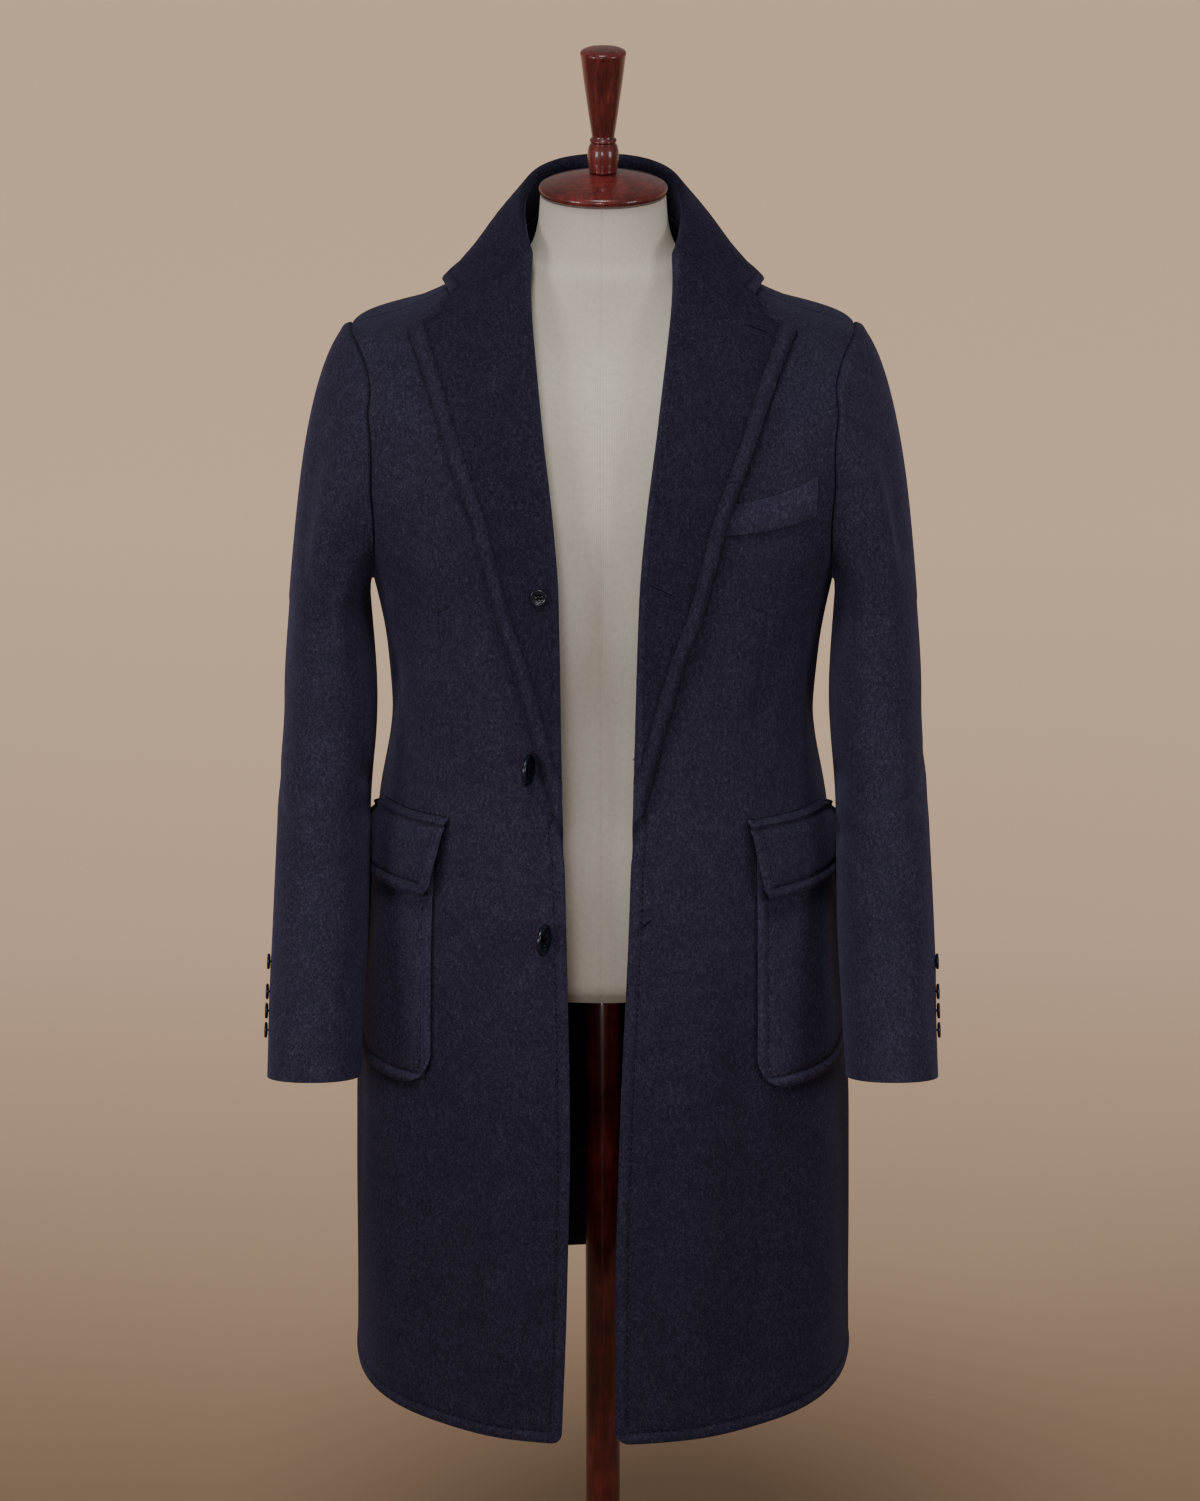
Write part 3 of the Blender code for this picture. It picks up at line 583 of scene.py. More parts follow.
def makeHorn():
    material, tree, shader = startMaterial("darkHorn")
    coordinates = nodeIn(tree, "ShaderNodeTexCoord", (-900, 0))
    cloud = noiseIn(tree, (-700, 0), Scale=170.0, Detail=3.0, Distortion=2.2)
    fine = noiseIn(tree, (-700, -300), Scale=900.0, Detail=2.0)
    stops = [(0.30, (0.003, 0.004, 0.008)), (0.55, (0.006, 0.009, 0.020)), (0.80, (0.016, 0.026, 0.048))]
    ramp = rampTo(tree, (-450, 0), stops, cloud, "Fac")
    wire(
        tree,
        (coordinates, "Object", cloud, "Vector"),
        (coordinates, "Object", fine, "Vector"),
        (ramp, "Color", shader, "Base Color"),
    )
    bumpTo(tree, shader, fine, "Fac", 0.06, 0.0003)
    varnish(shader, 0.26, 0.35, 0.25, 0.10)
    return material


def makeMahogany():
    material, tree, shader = startMaterial("varnishedMahogany")
    coordinates = nodeIn(tree, "ShaderNodeTexCoord", (-1200, 0))
    along = nodeIn(tree, "ShaderNodeMapping", (-1000, 100), Scale=(1.0, 1.0, 0.09))
    streak = noiseIn(tree, (-750, 200), Scale=210.0, Detail=4.0, Distortion=0.8)
    pore = noiseIn(tree, (-750, -50), Scale=900.0, Detail=2.0)
    cloud = noiseIn(tree, (-750, -300), Scale=26.0, Detail=2.0)
    figure = nodeIn(tree, "ShaderNodeMix", (-500, 100), data_type="FLOAT", Factor=0.35)
    whole = nodeIn(tree, "ShaderNodeMix", (-300, 0), data_type="FLOAT", Factor=0.4)
    stops = [
        (0.32, (0.019, 0.0030, 0.0032)),
        (0.50, (0.095, 0.0125, 0.0120)),
        (0.70, (0.250, 0.036, 0.032)),
    ]
    ramp = rampTo(tree, (-100, 200), stops, whole, 0)
    wire(
        tree,
        (coordinates, "Object", along, "Vector"),
        (along, "Vector", streak, "Vector"),
        (along, "Vector", pore, "Vector"),
        (coordinates, "Object", cloud, "Vector"),
        (streak, "Fac", figure, 2),
        (pore, "Fac", figure, 3),
        (figure, 0, whole, 2),
        (cloud, "Fac", whole, 3),
        (ramp, "Color", shader, "Base Color"),
    )
    bumpTo(tree, shader, pore, "Fac", 0.04, 0.0004)
    varnish(shader, 0.34, 0.3, 0.55, 0.09)
    return material


napGroup = makeNapGroup()
woolStops = [
    (0.32, (0.0102, 0.0090, 0.0190)),
    (0.50, (0.0250, 0.0222, 0.0425)),
    (0.68, (0.0680, 0.0610, 0.1030)),
]
woolCloth = makeWool("woolCloth", woolStops, 0.16, {"Fibre Scale": 1000.0, "Cloud Share": 0.08})
# the thread is painted near-black: partly the real dark thread on the buttons, partly painted shade for the
# dimples of the pick stitches, the sunk seams and the buttonhole slits
threadAndShadeStops = [(0.35, (0.0016, 0.0014, 0.0030)), (0.65, (0.0060, 0.0055, 0.0100))]
threadAndPaintedShade = makeWool("threadAndPaintedShade", threadAndShadeStops, 0.0, {"Fibre Scale": 1500.0, "Cloud Share": 0.1})
linenCover = makeLinen()
darkHorn = makeHorn()
mahogany = makeMahogany()
print("materials made")


# Fronts, each one sheet with its lapel, which turns over at the roll line
lapelShape = [
    # roll z, length turned over, drop at the outer edge, gap under the outer edge
    (0.950, 0.0000, 0.000, 0.0025),
    (0.972, 0.0024, 0.000, 0.0026),
    (0.993, 0.0080, 0.000, 0.0030),
    (1.012, 0.0132, 0.000, 0.0036),
    (1.030, 0.0176, 0.000, 0.0040),
    (1.055, 0.0226, 0.000, 0.0050),
    (1.090, 0.0298, 0.001, 0.0056),
    (1.130, 0.0390, 0.002, 0.0064),
    (1.175, 0.0529, 0.004, 0.0070),
    (1.215, 0.0604, 0.006, 0.0074),
    (1.260, 0.0674, 0.008, 0.0076),
    (1.300, 0.0754, 0.012, 0.0076),
    (1.335, 0.0824, 0.016, 0.0072),
    (1.360, 0.0869, 0.021, 0.0066),
    (1.386, 0.0909, 0.029, 0.0058),
    (1.410, 0.0944, 0.039, 0.0052),
    (1.4389, 0.1004, 0.052, 0.0040),
    (1.4595, 0.1094, 0.064, 0.0030),
]
lapel = {
    "radius": 0.0024,
    "softer": 0.0010,
    "belly": 0.0014,
    "notchShare": 0.67,
    "tipRadius": 0.007,
    "leastBand": 0.040,
    "gorgeLean": 0.86,  # cloth below the slanting top edge for a metre of height
    "gorgeBand": 0.03,
    "notchFade": 0.08,
    # painted shade: how much darker the turned lapel and collar are painted, partly for their turned nap,
    # and how much darker the skirt is painted towards the hem
    "turnedNapAndPaintedShade": 1.15,
    "skirtPaintedShade": 0.7,
}
dart = {
    # side: girth at the top, girth at the bottom, top z, bottom z
    -1: (0.1438, 0.1530, 1.195, 0.993),
    1: (0.1425, 0.1520, 1.195, 0.993),
    "depth": 0.0013,
    "narrow": 0.0011,
}
hemCorner = {-1: 0.010, 1: 0.014}


def rollRadius(z):  # soft and wide at the break, closer above it
    return lapel["radius"] + lapel["softer"] * (1 - ease((z - 1.000) / 0.130))


def rollGirth(side, z):
    radius = rollRadius(z)
    turn = between(lapelShape, z, 1) / radius
    edge = between(frontEdges, z, 1 if side < 0 else 2)
    return edge + (radius + coat["wall"]) * math.sin(min(turn, math.pi / 2))


def lapelRow(side, z):
    row = {"z": z, "roll": rollGirth(side, z), "radius": rollRadius(z)}
    for column, name in enumerate(("turned", "drop", "gap"), 1):
        row[name] = between(lapelShape, z, column)
    return row


def turnedShare(row, flat):  # 0 where the turned cloth leaves its roll, 1 at its free edge
    return flat / max(row["turned"] - math.pi * row["radius"], 1e-6)


def turnedHeight(row, share):  # how high the turned cloth stands over the chest
    roll = 2 * row["radius"]
    return roll + (row["gap"] - roll) * ease(share) + lapel["belly"] * math.sin(math.pi * share)


def frontPlace(side, row, inward, out=0.0):
    # inward is measured along the cloth from its free edge; out is away from the chest
    radius = row["radius"]
    past = row["turned"] - inward
    if past <= 0:
        return skin(side, row["roll"] - past, row["z"], out)
    angle = past / radius
    if angle < math.pi:
        shift = radius * math.sin(angle)
        return skin(side, row["roll"] - shift, row["z"], radius * (1 - math.cos(angle)) + out)
    flat = past - math.pi * radius
    share = turnedShare(row, flat)
    return skin(side, row["roll"] + flat, row["z"] - row["drop"] * share, turnedHeight(row, share) + out)


def dartGirth(side, z):
    top, low, topZ, lowZ = dart[side]
    return top + (low - top) * (topZ - z) / (topZ - lowZ)


def dartDepth(side, z, away):
    topZ, lowZ = dart[side][2:]
    line = math.exp(-((away / dart["narrow"]) ** 2))
    return dart["depth"] * line * (ease((topZ - z) / 0.03) * ease((z - lowZ + 0.03) / 0.02))


def frontColumns(side, row):
    z = row["z"]
    seam = girthAt(seamSwing(z, False), z) - coat["seamGap"] / 2
    seamInward = row["turned"] + seam - row["roll"]
    band = max(row["turned"], lapel["leastBand"])
    dartPlace = min(dartGirth(side, z), row["roll"] + 0.45 * (seam - row["roll"]))
    dartInward = row["turned"] + dartPlace - row["roll"]
    places = list(borderSteps)
    stops = [(band - 0.009, 20), (band + 0.003, 12), (dartInward - 0.0022, 14)]
    for end, count in stops:
        places += spread(places[-1], end, count)
    places += [dartInward - 0.0010, dartInward, dartInward + 0.0010, dartInward + 0.0022]
    places += spread(places[-1], seamInward, 34)
    return places, dartInward


def spacedHeights(stops):
    heights = [coat["hem"] + step for step in borderSteps]
    for end, count in stops:
        heights += spread(heights[-1], end, count)
    return heights


bodyHeights = spacedHeights([(1.165, 140), (1.200, 14), (1.340, 26), (1.376, 12), (1.388, 8)])


def hemPlace(point, z):  # the hem hangs lower in front than behind
    fade = max(0.0, 1 - (z - coat["hem"]) / coat["hemFade"])
    point.z += fade * coat["hemSlope"] * point.y / coat["hemDepth"]
    return point


def frontSpot(side, row, z, inward):
    # the row and place once corners are round, how near the border is, and how far out the cloth is turned
    above = z - coat["hem"]
    below = (coat["neck"] - z) * lapel["gorgeLean"]
    corner, tip = hemCorner[side], lapel["tipRadius"]
    share = turnedShare(row, row["turned"] - inward - math.pi * row["radius"])
    place, border = inward, min(inward, above)
    if inward < corner and above < corner:
        place, raised = roundCorner(inward, above, corner)
        row = lapelRow(side, coat["hem"] + raised)
        border = min(place, raised)
    if share > lapel["notchShare"] and below < lapel["gorgeBand"]:
        if inward < tip and below < tip:
            place, lowered = roundCorner(inward, below, tip)
            row = lapelRow(side, coat["neck"] - lowered / lapel["gorgeLean"])
        clear = ease((share - lapel["notchShare"]) / lapel["notchFade"])
        border = min(border, below + lapel["gorgeBand"] * (1 - clear))
    return row, place, border, share


def makeFront(side, word):
    topRows = [coat["neck"] - step for step in reversed(borderSteps)]
    heights = bodyHeights + spread(bodyHeights[-1], 1.426, 24)
    heights += spread(1.426, topRows[0], 6) + topRows[1:]
    rows, napAndPaintedLights = [], []
    for z in heights:
        plain = lapelRow(side, z)
        columns, dartInward = frontColumns(side, plain)
        points = []
        napAndPaintedLights.append([])
        for inward in columns:
            row, place, border, share = frontSpot(side, plain, z, inward)
            out = bodySwell(border, z)  # painted highlight on the swelled ridge and painted shade in its stitch line
            # painted shade: the turned lapel is painted darker, partly for its turned nap, and the skirt
            # darker towards the hem
            lean = lapel["turnedNapAndPaintedShade"] * ease(share * 30 + 1) + lapel["skirtPaintedShade"] * ease((1.0 - z) / 0.35)
            napAndPaintedLights[-1].append(out * swelled["napAndPaintedLight"] - lean)
            out -= dartDepth(side, z, inward - dartInward)
            points.append(hemPlace(frontPlace(side, row, place, out), row["z"]))
        rows.append(points)
    probe = (100, len(rows[0]) - 6)
    centre = Vector((0, 0, heights[100]))
    nodes = ["front_" + word.lower(), "lapel_" + word.lower()]
    piece = clothPiece("front" + word, rows, probe, centre, nodes, napAndPaintedLights=napAndPaintedLights)


# Where two pieces meet, one runs on under the other, as its seam allowance does.
lapSteps = [
    # how far past the seam, how deep under the outer face
    (-0.0070, -0.0047),
    (-0.0030, -0.0046),
    (-0.0006, -0.0036),
    (0.0010, -0.0016),
    (0.0028, -0.0004),
    (0.0048, 0.0),
]


backPanel = {"columns": 72, "climbRows": 34, "climbEase": 0.45, "lap": 0.0049, "plainLap": 0.0016}


def backLap(z):  # 1 along the side and shoulder seams, 0 round the armhole
    low, high = coat["armpit"], coat["shoulder"]
    return max(1 - ease((z - low + 0.012) / 0.010), ease((z - high) / 0.006))


def makeBack(side, word):
    rows = []
    columns, full = backPanel["columns"], bodyHeights[-1]
    climbs = spread(0.0, 1.0, backPanel["climbRows"])  # from the last full height up to the neck's curve
    plan = [(z, None) for z in bodyHeights] + [(None, climb) for climb in climbs]
    for z, climb in plan:
        points = []
        for column in range(-len(lapSteps), columns + (3 if side > 0 else 1)):
            share = min(max(column, 0) / columns, 1.0)
            height = z
            if climb is not None:
                eased = climb * (1 - backPanel["climbEase"]) + backPanel["climbEase"] * climb * climb
                height = full + eased * (neckHeight(share) - full)
            start = girthAt(seamSwing(height, True), height) + coat["seamGap"] / 2
            end = girthAt(180, height) - coat["seamGap"] / 2
            lap = backLap(height)
            past, deep = lapSteps[column] if column < 0 else (0.0, 0.0)
            first = start + backPanel["lap"] * lap + backPanel["plainLap"] * (1 - lap)
            girth = first + share * (end - first)
            if column < 0:
                edge = -0.0002 * column - 0.0002
                girth = start + past * lap + (0.0014 - edge) * (1 - lap)
            out = bodySwell(height - coat["hem"], height) + deep * lap
            if column > columns:  # the left back's allowance runs on under the right back
                girth = end + 0.0008 + 0.0060 * (column - columns - 1)
                out = -0.0042 - 0.0009 * (column - columns - 1)
            points.append(hemPlace(skin(side, girth, height, out), height))
        rows.append(points)
    centre = Vector((0, 0, bodyHeights[100]))
    piece = clothPiece("back" + word, rows, (100, 42), centre, ["back_" + word.lower()])


for side, word in sides:
    makeFront(side, word)
    makeBack(side, word)
print("fronts and backs made")


# Collar: the stand and the leaf in one piece, folded over
collarStations = [
    # place on the neckline, fold x, fold y, fold z, swing and height of the free edge
    (-0.60, 0.0675, -0.0220, 1.4760, 94.0, 1.4170),
    (0.00, 0.0705, 0.0080, 1.4905, 105.0, 1.4220),
    (0.32, 0.0670, 0.0340, 1.5015, 117.0, 1.4280),
    (0.49, 0.0570, 0.0580, 1.5080, 131.0, 1.4330),
    (0.66, 0.0400, 0.0750, 1.5120, 147.0, 1.4365),
    (0.83, 0.0200, 0.0840, 1.5138, 163.0, 1.4380),
    (1.00, 0.0000, 0.0870, 1.5140, 180.0, 1.4385),
]
collarLift = 0.0080  # from the shoulder up to the outer face of the collar's free edge


def onNeck(share, out):  # -1 at the roll, 0 at the shoulder seam, 1 at the nape
    z = neckHeight(share)
    seam = girthAt(90, z)
    if share < 0:
        girth = seam + share * (seam - rollGirth(1, z))
    else:
        girth = seam + share * (girthAt(180, z) - seam)
    return skin(1, girth, z, out)


def collarSection(station):  # eight points from the neckline up the stand, over and down the leaf
    neck, foldX, foldY, foldZ, edgeSwing, edgeZ = station
    fold = Vector((foldX, foldY, foldZ))
    outward = Vector((foldX, foldY - 0.005, 0)).normalized()
    seat = onNeck(neck, -coat["wall"]) + Vector((0, 0, 0.0005))
    upper = fold - outward * 0.0044 - Vector((0, 0, 0.0052))
    start = fold + outward * 0.0047 - Vector((0, 0, 0.0036))
    under, normal = bareSurface(edgeSwing, edgeZ)
    edge = under + normal * collarLift
    chord = edge - start
    lift = Vector((chord.y, -chord.x, 0)).cross(chord).normalized()
    if lift.z < 0:
        lift.negate()
    middle = start + chord * 0.36 + lift * 0.0052
    lower = start + chord * 0.70 + lift * 0.0034
    return [seat, (seat + upper) / 2, upper, fold, start, middle, lower, edge]


def gorgeSection(side, row):  # the lapel's own top edge, seen from its turned side
    radius, length = row["radius"], row["turned"]
    flat = length - math.pi * radius
    pasts = [-0.0030, radius * 0.5, radius * 1.3, radius * 2.1]
    pasts += [math.pi * radius + flat * share for share in (0.05, 0.24, 0.45, lapel["notchShare"])]
    lower = dict(row, z=row["z"] - 0.002)
    points = []
    for past in pasts:
        here = frontPlace(side, row, length - past)
        ahead = frontPlace(side, row, length - past - 0.0006)
        below = frontPlace(side, lower, length - past)
        normal = (ahead - here).cross(below - here).normalized() * side
        points.append(here - normal * coat["wall"])
    return points


def curveThrough(points, share):  # a Catmull-Rom curve, share from 0 to 1 over all points
    last = len(points) - 1
    place = min(max(share * last, 0.0), last - 1e-9)
    index = int(place)
    t = place - index
    p1, p2 = points[index], points[index + 1]
    p0 = points[index - 1] if index else p1 * 2 - p2
    p3 = points[index + 2] if index + 2 <= last else p2 * 2 - p1
    ahead = (p1 * 2) + (p2 - p0) * t + (p0 * 2 - p1 * 5 + p2 * 4 - p3) * t * t
    return (ahead + (p1 * 3 - p0 - p2 * 3 + p3) * t ** 3) * 0.5


def collarHalf(side, across):  # sections from the gorge to the nape, and how far each place is from the edge
    net = [gorgeSection(side, lapelRow(side, coat["neck"] - down)) for down in (0.020, 0.0)]
    for station in collarStations:
        net.append([onSide(side, spot) for spot in collarSection(station)])
    sections = []
    for stop in [0.012] + spread(0.0, 1.0, 10) + spread(1.0, 7.0, 46):
        section = [curveThrough([row[knot] for row in net], (stop + 1) / 8) for knot in range(7)]
        edge = [row[7] for row in net]  # the notch is a corner in the free edge
        section.append(curveThrough(edge[1:3], stop) if stop < 1 else curveThrough(edge[2:], (stop - 1) / 6))
        outline = [curveThrough(section, place / 7) for place in across]
        outline += [curveThrough(section, 6 / 7 + k / 7 / 14) for k in range(1, 15)]
        lengths = [0.0]
        for here, there in zip(outline[:0:-1], outline[-2::-1]):
            lengths.append(lengths[-1] + (there - here).length)
        sections.append((outline, lengths[::-1]))
    return sections


def makeCollar():
    across = [0.0] + spread(0.0, 2.0, 4) + spread(2.0, 6.0, 16)
    rows = collarHalf(-1, across) + collarHalf(1, across)[-2::-1]
    shaped, napAndPaintedLights = [], []
    for index, (outline, inwards) in enumerate(rows):
        near = rows[min(index + 1, len(rows) - 1)][0]
        far = rows[max(index - 1, 0)][0]
        points = []
        napAndPaintedLights.append([])
        for k, point in enumerate(outline):
            along = near[k] - far[k]
            over = outline[min(k + 1, len(outline) - 1)] - outline[max(k - 1, 0)]
            normal = along.cross(over).normalized()
            out = swell(inwards[k]) * ease((k - 8) / 6)
            points.append(point + normal * out)
            # painted highlight on the swelled ridge, painted shade in its stitch line, and the collar
            # painted darker like the turned lapel, partly for its nap and partly as painted shade
            napAndPaintedLights[-1].append(out * swelled["napAndPaintedLight"] - lapel["turnedNapAndPaintedShade"])
        shaped.append(points)
    probe = (len(shaped) // 2, len(shaped[0]) - 8)
    piece = clothPiece("collarLeaf", shaped, probe, Vector((0, 0, 1.45)), ["collar"], napAndPaintedLights=napAndPaintedLights)


makeCollar()
print("collar made")


# Sleeves, each a top and an under piece between two long seams
armSections = [
    # z, centre x, centre y, half width, half depth, lean, twist of the seams
    (0.745, 0.2535, -0.143, 0.0405, 0.0560, 18.0, 50.0),
    (0.860, 0.2477, -0.105, 0.0417, 0.0600, 19.0, 54.0),
    (0.976, 0.2435, -0.065, 0.0405, 0.0660, 17.0, 60.0),
    (1.060, 0.2375, -0.035, 0.0405, 0.0740, 10.0, 60.0),
    (1.150, 0.2380, -0.012, 0.0350, 0.0840, 0.0, 45.0),
]
sleeve = {
    "top": armSections[-1][0],
    "square": 2.15,
    "gap": 0.0010,
    "backSeam": -59.6,
    "frontSeam": 133.0,
    "stretch": 0.0009,  # metres of cloth to a degree, for laying folds
    "wander": 0.0012,
    "puff": 0.0012,
    "puffPlace": 0.09,
    "puffLength": 0.05,
    "reach": 0.055,  # from the middle of the arm to the cloth, on average
}
sleeveFolds = {
    # across and height at the start, across and height at the end, width, height, bow
    -1: layFolds([
        (0.030, 1.330, 0.050, 1.180, 0.012, -0.0030, 0.004),
        (0.062, 1.300, 0.072, 1.150, 0.010, 0.0022, -0.004),
        (0.095, 1.240, 0.075, 1.100, 0.012, -0.0028, 0.003),
        (0.000, 1.000, 0.060, 0.965, 0.011, -0.0026, 0.005),
        (0.010, 0.960, 0.075, 0.935, 0.010, -0.0022, -0.004),
        (0.120, 1.020, 0.190, 0.985, 0.011, -0.0032, 0.005),
        (0.110, 0.980, 0.200, 0.955, 0.012, -0.0030, -0.004),
        (-0.020, 0.930, -0.012, 0.790, 0.016, 0.0020, 0.003),
        (-0.030, 1.270, -0.050, 1.120, 0.014, -0.0026, 0.003),
        (-0.060, 1.060, -0.020, 1.010, 0.012, -0.0024, 0.003),
        (0.030, 0.900, 0.036, 0.770, 0.014, -0.0016, -0.003),
    ]),
    1: layFolds([
        (0.026, 1.325, 0.046, 1.190, 0.011, -0.0030, -0.004),
        (0.058, 1.290, 0.066, 1.160, 0.011, 0.0022, 0.004),
        (0.090, 1.230, 0.080, 1.110, 0.012, -0.0030, -0.003),
        (0.005, 0.985, 0.062, 0.960, 0.012, -0.0028, -0.005),
        (0.000, 1.020, 0.055, 0.995, 0.010, -0.0022, 0.004),
        (0.118, 1.010, 0.196, 0.980, 0.012, -0.0032, -0.004),
        (0.112, 0.965, 0.190, 0.950, 0.011, -0.0028, 0.004),
        (-0.022, 0.950, -0.010, 0.800, 0.015, 0.0022, -0.003),
        (-0.034, 1.260, -0.046, 1.110, 0.013, -0.0026, -0.003),
        (-0.058, 1.050, -0.024, 0.990, 0.012, -0.0026, -0.003),
        (0.034, 0.885, 0.030, 0.775, 0.014, -0.0016, 0.003),
    ]),
}


def armholePoint(side, around):  # on the wearer's left, moved with the body's folds
    angle = math.radians(around)
    power = 2 / armhole["square"]
    high = armhole["reach"] * abs(math.cos(angle)) ** power
    z = armhole["middle"] + math.copysign(high, math.cos(angle))
    depth = armhole["front"] if math.sin(angle) >= 0 else armhole["back"]
    y = -math.copysign(depth * abs(math.sin(angle)) ** power, math.sin(angle))
    half, front, back, square = sectionAt(z)
    x = half * (1 - (abs(y) / (front if y < 0 else back)) ** square) ** (1 / square)
    swing = math.degrees(math.atan2(x, -y))
    point, normal = bareSurface(swing, z)
    return point + normal * bodyFold(side, swing, z)


def armPoint(around, z):
    x, y, half, depth, lean = (between(armSections, z, column) for column in range(1, 6))
    angle = math.radians(around)
    power = 2 / sleeve["square"]
    wide = math.copysign(abs(math.cos(angle)) ** power, math.cos(angle)) * half
    deep = math.copysign(abs(math.sin(angle)) ** power, math.sin(angle)) * depth
    tilt = math.radians(lean)
    return Vector((x + wide, y - deep * math.cos(tilt), z + deep * math.sin(tilt)))


def sleeveSurface(side, around, along):  # along is 0 at the armhole, 1 at the arm's top, then in metres
    top = sleeve["top"]
    if along >= 1.0:
        return armPoint(around, top - (along - 1.0))
    angle = math.radians(around)
    start = armholePoint(side, around) + Vector((sleeve["gap"], 0, 0))
    end = armPoint(around, top)
    leanOut = Vector((0.012 + 0.010 * math.cos(angle), -0.006 * math.sin(angle), -0.012))
    reachUp = 0.66 * max(start.z - end.z, 0.0)
    first = start + leanOut * (0.25 + 0.75 * (1 + math.cos(angle)) / 2)
    second = end + Vector((-0.006 - 0.006 * math.cos(angle), 0, reachUp))
    t, s = along, 1.0 - along
    return start * s ** 3 + first * 3 * s * s * t + second * 3 * s * t * t + end * t ** 3


def seamTwist(along):
    if along >= 1.0:
        return between(armSections, sleeve["top"] - (along - 1.0), 6)
    return armSections[-1][6] * along * along * (3 - 2 * along)


def sleeveFrame(side, around, along, out=0.0):
    point = sleeveSurface(side, around, along)
    low = max(along - 0.004, 0.0)
    down = sleeveSurface(side, around, along + 0.004) - sleeveSurface(side, around, low)
    turned = sleeveSurface(side, around + 0.8, along) - sleeveSurface(side, around - 0.8, along)
    normal = turned.cross(down).normalized()
    turn = (around + 180) % 360 - 180 if around < 200 else around - 360
    soft = noise.noise(Vector((turn * 0.01, point.z * 7, side * 1.9))) * sleeve["wander"]
    fold = foldHeight(sleeveFolds[side], turn * sleeve["stretch"], point.z) + soft
    point = point + normal * (out + fold * ease(along / 0.25))
    return onSide(side, point), onSide(side, normal)


capTuck = [
    # place along the sleeve, shift in under the body, depth under the outer face
    (0.0, 0.0060, -0.0052),
    (0.0, 0.0028, -0.0048),
    (0.0, 0.0004, -0.0026),
    (0.014, 0.0, -0.0008),
    (0.032, 0.0, 0.0003),
]
underEdges = [
    # degrees inward from the seam, depth under the top sleeve's face
    (-5.5, -0.0045),
    (-2.2, -0.0044),
    (-0.2, -0.0034),
    (1.1, -0.0014),
    (2.6, -0.0003),
]


def makeSleevePiece(side, name, start, end, nodes, under):
    nudge = math.degrees(coat["seamGap"] / 2 / sleeve["reach"])  # half the seam's gap, in degrees
    columns = max(round((end - start) / 4.5), 12)
    turns = [start + nudge + (end - start - 2 * nudge) * k / columns for k in range(columns + 1)]
    deeps = [0.0] * len(turns)
    if under:  # the under sleeve runs on beneath the top sleeve
        ins, lows = zip(*underEdges)
        turns = [start + inner for inner in ins] + turns[1:-1] + [end - inner for inner in ins[::-1]]
        deeps = [*lows, *deeps[1:-1], *lows[::-1]]
    cuff = 1.0 + sleeve["top"] - armSections[0][0]
    stops = list(capTuck) + [(along, 0.0, 0.0006) for along in spread(0.05, 1.0, 46)]
    lower = spread(1.0, cuff - borderSteps[-1], 76)
    lower += [cuff - step for step in reversed(borderSteps[:-1])]
    stops += [(along, 0.0, 0.0) for along in lower]
    rows = []
    for along, shift, deep in stops:
        puff = sleeve["puff"] * math.exp(-(((along - sleeve["puffPlace"]) / sleeve["puffLength"]) ** 2))
        points = []
        for turn, lap in zip(turns, deeps):
            point = sleeveFrame(side, turn + seamTwist(along), along, puff + deep + lap)[0]
            point.x -= side * shift
            points.append(point)
        rows.append(points)
    middle = armSections[2]
    centre = Vector((side * middle[1], middle[2], middle[0]))
    near = min(range(len(stops)), key=lambda k: abs(stops[k][0] - (1 + sleeve["top"] - middle[0])))
    return clothPiece(name, rows, (near, len(turns) // 2), centre, nodes)


for side, word in sides:
    first, last = sleeve["backSeam"], sleeve["frontSeam"]
    nodes = ["top_sleeve_" + word.lower()]
    piece = makeSleevePiece(side, "topSleeve" + word, first, last, nodes, False)
    nodes = ["under_sleeve_" + word.lower()]
    piece = makeSleevePiece(side, "underSleeve" + word, last, first + 360, nodes, True)
print("sleeves made")


# Patch pockets and their flaps
pocket = {
    "top": 0.958,
    "bottom": 0.728,
    "round": 0.034,
    "wall": 0.0032,
    "outerShare": 0.955,
    "slack": 0.0022,
    "drop": 0.020,
    # painted light: how much paler the pocket is painted
    "napAndPaintedLight": 0.8,
    "inner": {-1: (0.1530, 0.1590), 1: (0.1370, 0.1400)},
}
flap = {
    "top": 0.981,
    "bottom": 0.9085,
    "topSlope": 0.10,
    "bottomSlope": 0.05,
    "topLine": 0.0095,
    "round": 0.013,
    "wall": 0.0042,
    "outerShare": 0.975,
    "lift": 0.0118,
    "lean": 0.0040,
    "curl": 0.0030,
    "wave": 0.0010,
    "groove": 0.0024,
    "tuck": 0.0066,
    "belly": 0.0022,
    "inner": {-1: (0.1390, 0.1520), 1: (0.1280, 0.1380)},
}


pocketTall = pocket["top"] - pocket["bottom"]
flapTall = flap["top"] - flap["bottom"]


def panelGirth(side, share, z):
    start = rollGirth(side, z)
    end = girthAt(seamSwing(z, False), z)
    return start + share * (end - start)


def patchSteps(width, middle):
    outer = [width - step for step in reversed(borderSteps)]
    return borderSteps + spread(borderSteps[-1], outer[0], middle) + outer[1:]


def softCorners(place, up, width, radius):  # rounds the lower two corners of a patch
    other = width - place
    if place < radius:
        return roundCorner(place, up, radius)
    if other < radius:
        moved, raised = roundCorner(other, up, radius)
        return width - moved, raised
    return place, up


def outerPart(place, width):  # 1 at the outer edge, where the front turns away
    inner = 0.62
    return ease((place - inner * width) / ((1 - inner) * width))


def pocketSpan(side, up):  # girth of the inner edge, and the width
    innerTop, innerLow = pocket["inner"][side]
    inner = innerLow + up / pocketTall * (innerTop - innerLow)
    return inner, panelGirth(side, pocket["outerShare"], pocket["bottom"] + up) - inner


